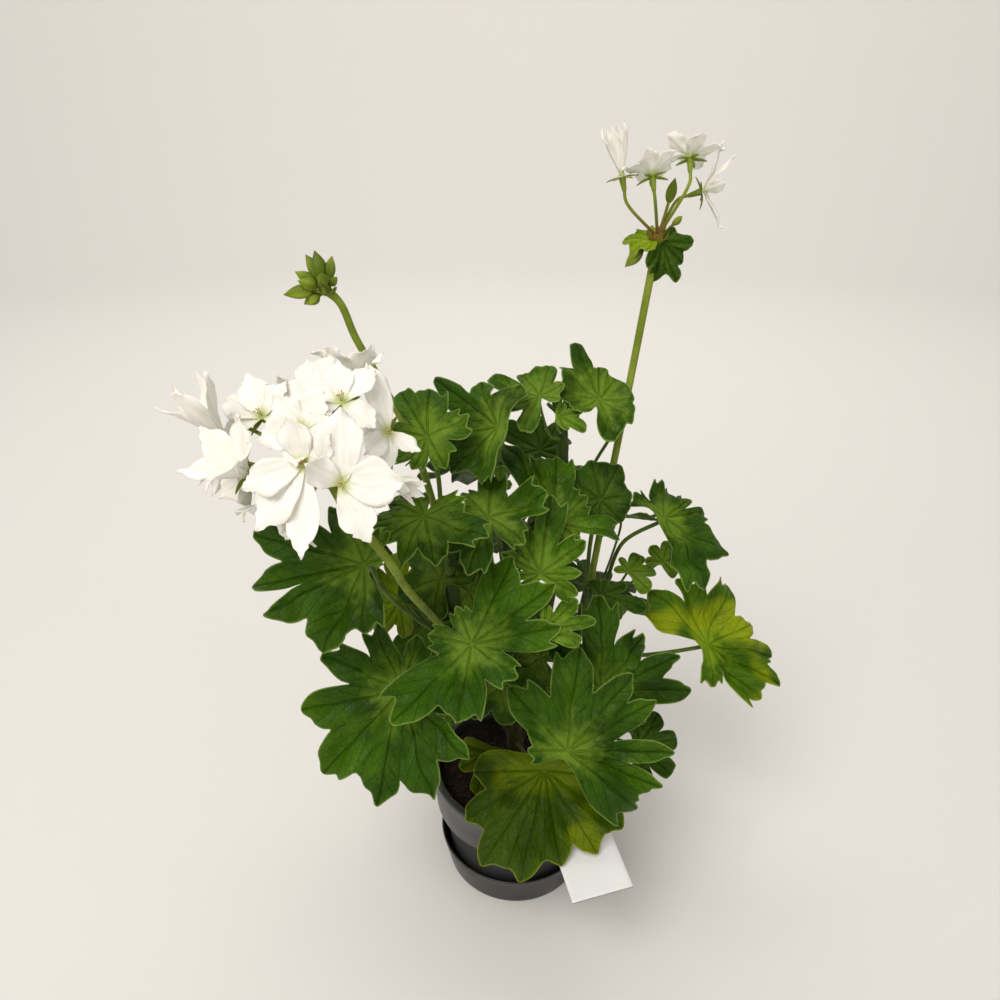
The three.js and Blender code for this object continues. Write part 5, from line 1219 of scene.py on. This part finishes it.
blooms = {
    "petals_left_far": [dict(at=(-112, -93, 335), face=(188, 60), petals=star(25, 8, 72, 10, 80))],
    "petals_left_top": [
        dict(at=(-100, -82, 339), face=(250, 50),
             petals=[(170, 20, 13, 14, 40), (212, 17, 11, 6, 20), (132, 18, 12, 26, 34),
                     (62, 15, 11, 34, 30), (8, 15, 11, 16, 30)]),
        dict(at=(-79, -80, 345), face=(262, 60),
             petals=[(112, 17, 12, 32, 40), (72, 18, 12, 34, 24), (172, 15, 11, 20, 40),
                     (24, 14, 11, 24, 30), (240, 13, 10, 10, 30)]),
        dict(at=(-70, -64, 347), face=(80, 66), petals=star(18, 11, 50, 14, 75)),
    ],
    "petals_left_cup": [dict(at=(-101, -107, 326), face=(235, 56), petals=star(22, 12, 62, 12, 90))],
    "petals_left_behind": [dict(at=(-90, -61, 336), face=(110, 62), petals=star(18, 9, 48, 16, 54))],
    "petals_left_front": [
        dict(at=(-77, -116, 335), face=(266, 22),
             petals=[(273, 31, 12, 10, 8), (236, 27, 15, 16, 20), (204, 22, 13, 24, 20),
                     (98, 16, 12, 34, 20), (48, 15, 12, 30, 10)]),
        dict(at=(-64, -120, 329), face=(274, 20),
             petals=[(88, 25, 17, 20, 22), (4, 20, 18, 16, 20), (-34, 17, 11, 8, 8),
                     (-66, 21, 13, 12, 8), (142, 16, 11, 40, 0)]),
        dict(at=(-79, -106, 343), face=(262, 42), petals=star(14, 12, 26, 24, 64)),
        dict(at=(-66, -97, 350), face=(270, 62),
             petals=[(100, 17, 12, 30, 40), (50, 16, 12, 26, 30), (155, 15, 12, 20, 40),
                     (215, 11, 8, 20, 20), (325, 14, 11, 0, 40)]),
        dict(at=(-52, -90, 336), face=(300, 20),
             petals=[(97, 26, 11, 24, 44), (148, 14, 11, 24, 20), (-45, 13, 7, 20, 0),
                     (-112, 14, 10, 16, 0), (205, 14, 10, 30, 0)]),
    ],
    "petals_left_opening": [
        dict(at=(-52, -94, 318), face=(335, -8), petals=star(14, 5.2, 70, -12, 90))],
    "petals_left_low": [
        dict(at=(-92, -96, 309), face=(235, -42), petals=star(19, 12, 36, 10, 30)),
        dict(at=(-104, -92, 318), face=(225, -12), petals=star(16, 11, 50, 12, 0)),
    ],
    "petals_left_drooping": [
        dict(at=(-116, -84, 325), face=(200, -65), petals=star(18, 5.5, 74, -8, 60))],
    "petals_top_left": [
        dict(at=(45, 18, 417), face=(180, 76), petals=star(21, 6.2, 75, -6, 60)),
        dict(at=(58, 14, 417), face=(100, 58), petals=star(13, 9, 44, 40, 58)),
    ],
    "petals_top_right": [
        dict(at=(76, 22, 424), face=(85, 56),
             petals=[(30, 14, 9, 50, 40), (100, 12, 9, 40, 50), (172, 14, 10, 30, 40),
                     (240, 12, 9, 30, 40), (310, 12, 9, 36, 40)]),
        dict(at=(84, 24, 410), face=(340, 20),
             petals=[(75, 21, 8, 40, 0), (112, 20, 7, 56, 0), (180, 15, 6, 50, 0),
                     (268, 18, 10, 14, 0), (302, 16, 9, 8, 0)]),
    ],
}
heads = {
    "left_head_stalks": dict(
        hub=(-79, -84, 318), ball=3.2, radius=1.9, shoot="left", height=170, blooms="petals_left",
        line=[(-70, -90, 303), (-57, -88, 281), (-52, -67, 251), (-42, -41, 214)],
        buds=[(-4, 4, 9, 9, 2.2), (-6, 8, 12, 9, 2.2), (2, 5, 12, 8, 2), (8, -10, -8, 8, 1.8),
              (-4, -14, -8, 9, 1.8), (-10, 4, -6, 9, 2)]),
    "top_head_stalks": dict(
        hub=(64, 20, 390), ball=3, radius=2, shoot="right", height=201, blooms="petals_top",
        line=[(63, 20, 379), (56, 16, 322), (50, 14, 273)],
        buds=[(4.5, 4, 15, 11, 2.3), (-7, -1, -6, 10.5, 2.6), (-6, 6, -5, 8, 2), (8, 6, 5, 7, 1.6)]),
    "bud_head": dict(
        hub=(-90, 0, 370), ball=3, radius=1.9, shoot="left", height=230, blooms="none",
        line=[(-84, 0, 364), (-78, -1, 348), (-68, -5, 330), (-52, -10, 296)],
        buds=[(-2.3, 1.2, 4.4, 12.3, 2.8), (-0.9, 0.8, 4.6, 12.6, 3.1), (1.2, 1.4, 4.2, 10.6, 2.5),
              (2.2, 0.2, 2, 5, 2), (-4, 0.5, 2.4, 10.8, 2.7), (-5.6, -1.4, -0.3, 13, 3),
              (-3.6, -0.4, -2.2, 8, 2.5), (-3, -1.7, -2.4, 6.4, 2.2), (-3.4, -2.4, 1.8, 9, 2.7),
              (0.2, -2.6, 2.8, 7.6, 2.6), (-2, 3.2, 2.4, 9, 2.6)]),
}
bracts = [
    dict(at=(62, 18, 389), face=(215, 62),
         lobes=[(110, 11, 0, 9), (150, 17, 2, 13), (190, 18, -3, 12), (235, 13, -3, 9), (290, 9, 0)]),
    dict(at=(66, 19, 388.5), face=(285, 12),
         lobes=[(-124, 14, 3, 11), (-99, 19, -3, 15), (-73, 20, 3, 14), (-42, 16, -3, 12),
                (-8, 14, 3, 10), (34, 9, 0)]),
]
BUD_SIDES = 20
BUD_ROWS = 12
BUD_SHARES = [0, 0.08, 0.22, 0.42, 0.6, 0.78, 0.92, 1]
BUD_SPREADS = [0.42, 0.66, 0.9, 1.0, 0.86, 0.56, 0.22, 0.05]


def round_about(axis):
    """Two directions square to an axis."""
    side = unit(np.cross(axis, (0.2, 0.9, 0.3)))
    return side, np.cross(axis, side)


def swollen(foot, axis, profile, sides, ribs=0.0, lean=0.0):
    """A pointed round body along an axis from (distance, radius) pairs, ribbed by its five sepals."""
    side, other = round_about(axis)
    turns = np.linspace(0, 2 * math.pi, sides, endpoint=False)
    ridge = 1 + ribs * np.abs(np.cos(2.5 * turns)) - ribs / 2
    rings = []
    for distance, radius in profile:
        centre = foot + axis * distance + side * lean * distance ** 2
        rings.append(centre + radius * ridge[:, None]
                     * (np.cos(turns)[:, None] * side + np.sin(turns)[:, None] * other))
    last = (len(profile) - 1) * sides
    ends = [tuple(range(sides - 1, -1, -1)), tuple(range(last, last + sides))]
    return np.vstack(rings), ring_faces(len(profile), sides) + ends


def closed_sheet(upper, lower):
    """A thin sheet from two grids of points, its upper and lower sides, closed round its rim."""
    rows, columns = upper.shape[:2]
    size = rows * columns
    quads = [
        (corner, corner + columns, corner + columns + 1, corner + 1)
        for row in range(rows - 1)
        for corner in range(row * columns, row * columns + columns - 1)]
    faces = [tuple(size + spot for spot in quad) for quad in quads] + [quad[::-1] for quad in quads]
    rim = [row * columns for row in range(rows)]
    rim += [(rows - 1) * columns + column for column in range(1, columns)]
    rim += [row * columns + columns - 1 for row in range(rows - 2, -1, -1)]
    rim += list(range(columns - 2, 0, -1))
    for spot, after in zip(rim, rim[1:] + rim[:1]):
        faces.append((spot, after, size + after, size + spot))
    return np.vstack([upper.reshape(-1, 3), lower.reshape(-1, 3)]), faces


def pointed_blade(line, widths, face, thick, cup):
    """A narrow pointed leaf along a line: its width at each step, its face direction and cupping."""
    line = np.asarray(line, dtype=float)
    slopes = np.gradient(line, axis=0)
    slopes /= np.linalg.norm(slopes, axis=1)[:, None]
    rows = []
    columns = np.linspace(-1, 1, 5)
    for point, slope, width in zip(line, slopes, widths):
        across = unit(np.cross(face, slope))
        up = np.cross(slope, across)
        rows.append([point + across * column * width / 2 + up * cup * width * column ** 2
                     for column in columns])
    rows = np.array(rows)
    lifted = unit(face) * thick / 2
    return closed_sheet(rows + lifted, rows - lifted)


flower_skin = green_stalk(
    "flower_green", "#8a9a34", "#687a1e", "#74501f", [0.386, 0.404], 0.392)
bud_skin = green_stalk("bud_green", "#8b9c2c", "#55690c")
flower_random = np.random.default_rng(29)


def add_calyx(piece, at, face):
    """A ribbed calyx under a bloom, with five sepals. Gives its foot and its direction."""
    normal, right, uphill = face_frame(*face)
    mouth = np.asarray(at, dtype=float) - normal * CALYX_SETBACK
    foot = mouth - normal * CALYX_LENGTH
    piece.add(*swollen(foot, normal, CALYX_PROFILE, 15, ribs=0.12))
    for sepal in range(5):
        turn = math.radians(72 * sepal + 36) + flower_random.normal(0, 0.08)
        out = right * math.cos(turn) + uphill * math.sin(turn)
        reach = SEPAL_REACH * flower_random.uniform(*SEPAL_UNEVEN_REACHES)
        droop = flower_random.uniform(*SEPAL_DROOPS)
        line = [mouth + out * share * reach - normal * (SEPAL_DROP + droop * share ** 2)
                for share in np.linspace(0.16, 1, len(SEPAL_WIDTHS))]
        piece.add(*pointed_blade(line, SEPAL_WIDTHS, normal, SEPAL_THICKNESS, 0.18))
    return foot, normal


def add_hub_scales(piece, hub, ball):
    """The small pointed scales round a head's hub."""
    for scale in range(HUB_SCALES):
        turn = 2 * math.pi * scale / HUB_SCALES + flower_random.normal(0, 0.1)
        out = np.array([math.cos(turn), math.sin(turn), 0.0])
        start = hub + out * 0.7 * ball - (0, 0, 0.5 * ball)
        tip = hub + out * (ball + SCALE_REACH) + (0, 0, flower_random.uniform(*SCALE_RISES))
        middle = (start + tip) / 2 + out * 0.9 - (0, 0, 0.6)
        scale_line = bent_line([start, middle, tip], len(SCALE_WIDTHS) - 1)
        face = unit(np.cross(tip - start, np.cross((0, 0, 1), out)))
        piece.add(*pointed_blade(scale_line, SCALE_WIDTHS, face, SCALE_THICKNESS, 0.1))


def add_bud(piece, hub, x, y, z, length, radius):
    """A pointed bud on its short stalk, its neck at x, y, z from the hub."""
    axis = unit((x, y, z))
    neck = hub + np.array([x, y, z], dtype=float)
    stalk = bent_line([hub, (hub + neck) / 2 - (0, 0, 0.6), neck + axis], 8)
    piece.add(*tube(stalk, FLOWER_STALK_RADIUS, 8))
    rows = np.linspace(0, 1, BUD_ROWS)
    shape = np.interp(rows, BUD_SHARES, BUD_SPREADS)
    profile = list(zip(rows * length, shape * radius))
    piece.add(*swollen(neck, axis, profile, BUD_SIDES, ribs=0.3, lean=0.004), skin=1)


for name, head in heads.items():
    green = Piece()
    hub = np.asarray(head["hub"], dtype=float)
    line = bent_line([hub, *head["line"], shoot_point(head["shoot"], head["height"])], 90)
    girth = flares(len(line), 0.25, 0.03, 0.5, 0.03)
    head_tube = tube(line, HEAD_STALK_SLIMNESS * head["radius"] * girth, 14)
    green.add(*head_tube)
    hairy.add(*head_tube)
    hub_profile = [(-head["ball"], 0.8)] + [
        (head["ball"] * math.sin(turn), head["ball"] * math.cos(turn) * 0.95)
        for turn in np.linspace(-1.2, 1.3, 9)]
    green.add(*swollen(hub, np.array([0, 0, 1.0]), hub_profile, 16, ribs=0.1))
    add_hub_scales(green, hub, head["ball"])
    own_blooms = [bunch for part, bunch in blooms.items() if part.startswith(head["blooms"])]
    for bloom in sum(own_blooms, []):
        foot, normal = add_calyx(green, bloom["at"], bloom["face"])
        stalk_line = bent_line([hub, foot - 5 * normal, foot + 0.4 * normal], 16)
        green.add(*tube(stalk_line, FLOWER_STALK_RADIUS, 8))
    for bud in head["buds"]:
        add_bud(green, hub, *bud)
    skins = [flower_skin, bud_skin]
    if name == "top_head_stalks":
        skins += [leaf_tones["yellowing"], leaf_tones["shaded"], under_skin]
        for number, bract in enumerate(bracts):
            add_blade(green, bract, True, 400 + number, 2 + number, 4)
    green.grow("grown_" + name, skins, "flower_green", name)


# Stalk hairs
# Short, soft, pale hairs that grow straight out of the green rind of the stems, the leaf stalks
# and the head stalks. Each is a thin three-sided point, scattered over the rind.
HAIR_RADIUS = 0.03
HAIR_LENGTH = 0.8
HAIR_ROOT = 0.1
HAIR_BEND = 0.1
HAIRS_TO_A_SQUARE_METRE = 3e5
hair_skin = two_tone("stalk_hair", 200, "#a9ba78", "#dfe6c4", 0.6)
hair = bare_object(
    "hair", [*circle(HAIR_RADIUS, -HAIR_ROOT, 3), (HAIR_BEND, 0, HAIR_LENGTH)],
    [(0, 2, 1), (0, 1, 3), (1, 2, 3), (2, 0, 3)])
hairy_rind = bare_object("hairy_rind", np.concatenate(hairy.points), hairy.faces)
scatter("stalk_hairs", "stem_green", hairy_rind, Shape=hair, Density=HAIRS_TO_A_SQUARE_METRE,
        Smallest=0.5, Largest=1.3, Lean=0.35, Seed=8, Skin=hair_skin.material)


# Blooms
# Each bloom has five thin, soft white petals with narrow feet and pointed, slightly torn tips. They
# are cupped, bend back towards their ends and meet in a small green throat with short stamens.
PETAL_HALF_THICKNESS = 0.2
PETAL_ROWS = 26
PETAL_COLUMNS = 13
PETAL_SHARES = [0, 0.12, 0.34, 0.55, 0.7, 0.8, 0.88, 0.95, 1]
PETAL_SPREADS = [0.2, 0.42, 0.8, 0.99, 0.9, 0.68, 0.42, 0.18, 0.02]
PETAL_SWAY = 0.045
PETAL_TWIST = 0.22
PETAL_CURL = 0.09
PETAL_CUPPING = 0.34
MIDRIB_DEPTH = 0.3
MIDRIB_HALF_WIDTH = 0.22
RAGGED_SHARE = 0.07
PLEATS = 5
PLEAT_SHARE = 0.022
FRILL_SHARE = 0.1
NICK_DEPTH = 0.3
NICK_HALF_LENGTH = 0.024
THROAT_RADIUS = 1.6
THROAT_PROFILE = [(-0.3, 0.9), (0.1, 0.95 * THROAT_RADIUS), (0.5, 1.2), (0.9, 0.5)]
STAMENS = 5
FILAMENT_RADIUS = 0.16
ANTHER_PROFILE = [(0, 0.1), (0.25, 0.22), (0.65, 0.22), (0.9, 0.1)]
petal_skin = Skin("petal_white")
petal_map = petal_skin.add("ShaderNodeUVMap", uv_map="Growth")
petal_parts = petal_skin.add("ShaderNodeSeparateXYZ")
petal_skin.feed(petal_parts.inputs[0], petal_map.outputs["UV"])
lines_map = petal_skin.add("ShaderNodeMapping")
lines_map.inputs["Scale"].default_value = (60, 5, 1)
petal_skin.feed(lines_map.inputs["Vector"], petal_map.outputs["UV"])
petal_lines = petal_skin.add("ShaderNodeTexNoise")
petal_lines.inputs["Scale"].default_value = 1.0
petal_lines.inputs["Detail"].default_value = 3.0
petal_skin.feed(petal_lines.inputs["Vector"], lines_map.outputs["Vector"])
# Warm grey lengthwise streaks: partly the petals' fine veins, partly painted shade in their small folds.
vein_and_fold_shade_streaks = petal_skin.band(petal_lines.outputs["Fac"], 0.5, 0.66)
petal_tint = petal_skin.blend(petal_skin.times(vein_and_fold_shade_streaks, 0.16), colour("#f8f6ee"), colour("#c2baa6"))
foot_share = petal_skin.band(petal_parts.outputs["Y"], 0.045, 0.0)
petal_tint = petal_skin.blend(petal_skin.times(foot_share, 0.8), petal_tint, colour("#b9c46a"))
petal_skin.set(
    Base_Color=petal_tint, Roughness=0.55, Specular_IOR_Level=0.35, Subsurface_Weight=0.35,
    Subsurface_Radius=(0.002, 0.0018, 0.0015))
petal_skin.relief(petal_lines.outputs["Fac"], 0.00035, 0.6)
throat_skin = two_tone("bloom_throat", 300, "#9fb04a", "#c9cf8e", 0.6)
anther_skin = two_tone("anther_brown", 900, "#a8643a", "#d2a45e", 0.7)


def petal(centre, axes, form, random):
    """One petal's points, faces and corner places: a narrow foot, a cupped blade, a torn point."""
    normal, right, uphill = axes
    angle, length, width, rise, bend = form
    turn = math.radians(angle)
    outward = right * math.cos(turn) + uphill * math.sin(turn)
    sideways = np.cross(normal, outward)
    shares = np.linspace(0, 1, PETAL_ROWS)
    slopes = np.radians(rise - bend * shares)
    step = length / (PETAL_ROWS - 1)
    out = 0.5 + np.concatenate([[0], np.cumsum(np.cos(slopes[:-1]) * step)]) + 1.0 * shares
    up = np.concatenate([[0], np.cumsum(np.sin(slopes[:-1]) * step)])
    spread = np.interp(shares, PETAL_SHARES, PETAL_SPREADS)
    sway = random.normal(0, PETAL_SWAY) * length * shares ** 2
    twist = random.normal(0, PETAL_TWIST) * shares
    curl = random.normal(0, PETAL_CURL) * length
    columns = np.linspace(-1, 1, PETAL_COLUMNS)
    start = random.uniform(0, 2 * math.pi, 4)
    nick = random.uniform([0.74, 0.74, 0.86, 0.86], [0.84, 0.84, 0.94, 0.94])
    rows, places = [], []
    for row, share in enumerate(shares):
        face = normal * math.cos(slopes[row]) - outward * math.sin(slopes[row])
        half_widths = np.full(PETAL_COLUMNS, spread[row] * width / 2)
        for cut, at in enumerate(nick):
            dent = 1 - NICK_DEPTH * math.exp(-((share - at) / NICK_HALF_LENGTH) ** 2)
            half_widths[(columns < 0) if cut % 2 else (columns > 0)] *= dent
        ragged = np.sin(14 * share + start[2] + 2 * np.sign(columns))
        half_widths *= 1 + RAGGED_SHARE * share * ragged
        cupping = (PETAL_CUPPING - PETAL_CUPPING * share) * half_widths * columns ** 2
        fold = -MIDRIB_DEPTH * np.exp(-(columns / MIDRIB_HALF_WIDTH) ** 2) * math.sin(math.pi * share)
        pleats = PLEAT_SHARE * width * np.sin(PLEATS * math.pi * columns + start[3])
        pleats *= math.sin(math.pi * share)
        frill = FRILL_SHARE * width * columns * share * np.sin(10 * share + start[0] + 1.6 * columns)
        frill += FRILL_SHARE / 2 * width * columns ** 2 * share * math.sin(17 * share + start[1])
        lift = cupping + fold + pleats + frill + columns * half_widths * twist[row] + curl * share ** 4
        spine = centre + outward * out[row] + normal * up[row]
        aside = half_widths * columns
        rows.append(spine + sideways * (aside + sway[row])[:, None] + face * lift[:, None])
        places += [(wide * 0.01, share * length * 0.01) for wide in aside]
    rows = np.array(rows)
    along = np.gradient(rows, axis=0)
    across = np.gradient(rows, axis=1)
    faces_at = np.cross(across, along)
    faces_at /= np.maximum(np.linalg.norm(faces_at, axis=2), 1e-9)[..., None]
    if np.sum(faces_at[PETAL_ROWS // 2] @ normal) < 0:
        faces_at = -faces_at
    thin = PETAL_HALF_THICKNESS * (1 - 0.5 * np.abs(columns)[None, :, None])
    points, faces = closed_sheet(rows + faces_at * thin, rows - faces_at * thin)
    places = places * 2
    corners = [places[spot] for face in faces for spot in face]
    return points, faces, corners


def add_bloom(piece, bloom, random):
    """A bloom's petals, its throat and its stamens."""
    axes = face_frame(*bloom["face"])
    normal, right, uphill = axes
    centre = np.asarray(bloom["at"], dtype=float)
    for form in bloom["petals"]:
        points, faces, corners = petal(centre, axes, form, random)
        piece.add(points, faces, 0, corners)
    piece.add(*swollen(centre, normal, THROAT_PROFILE, 12), skin=1)
    for stamen in range(STAMENS):
        turn = 2 * math.pi * stamen / STAMENS + random.normal(0, 0.2)
        out = right * math.cos(turn) + uphill * math.sin(turn)
        reach = random.uniform(3.2, 4.8)
        tip = centre + normal * reach + out * reach * random.uniform(0.12, 0.3)
        filament = bent_line([centre, (centre + tip) / 2 + out * 0.1, tip], 4)
        piece.add(*tube(filament, FILAMENT_RADIUS, 5), skin=1)
        anther = unit(out + random.normal(0, 0.3, 3))
        piece.add(*swollen(tip - anther * 0.5, anther, ANTHER_PROFILE, 6), skin=2)


for number, (name, bunch) in enumerate(blooms.items()):
    corollas = Piece()
    random = np.random.default_rng(500 + number)
    for bloom in bunch:
        add_bloom(corollas, bloom, random)
    corollas.grow("bloom_" + name, [petal_skin, throat_skin, anther_skin], "petal_white", name)
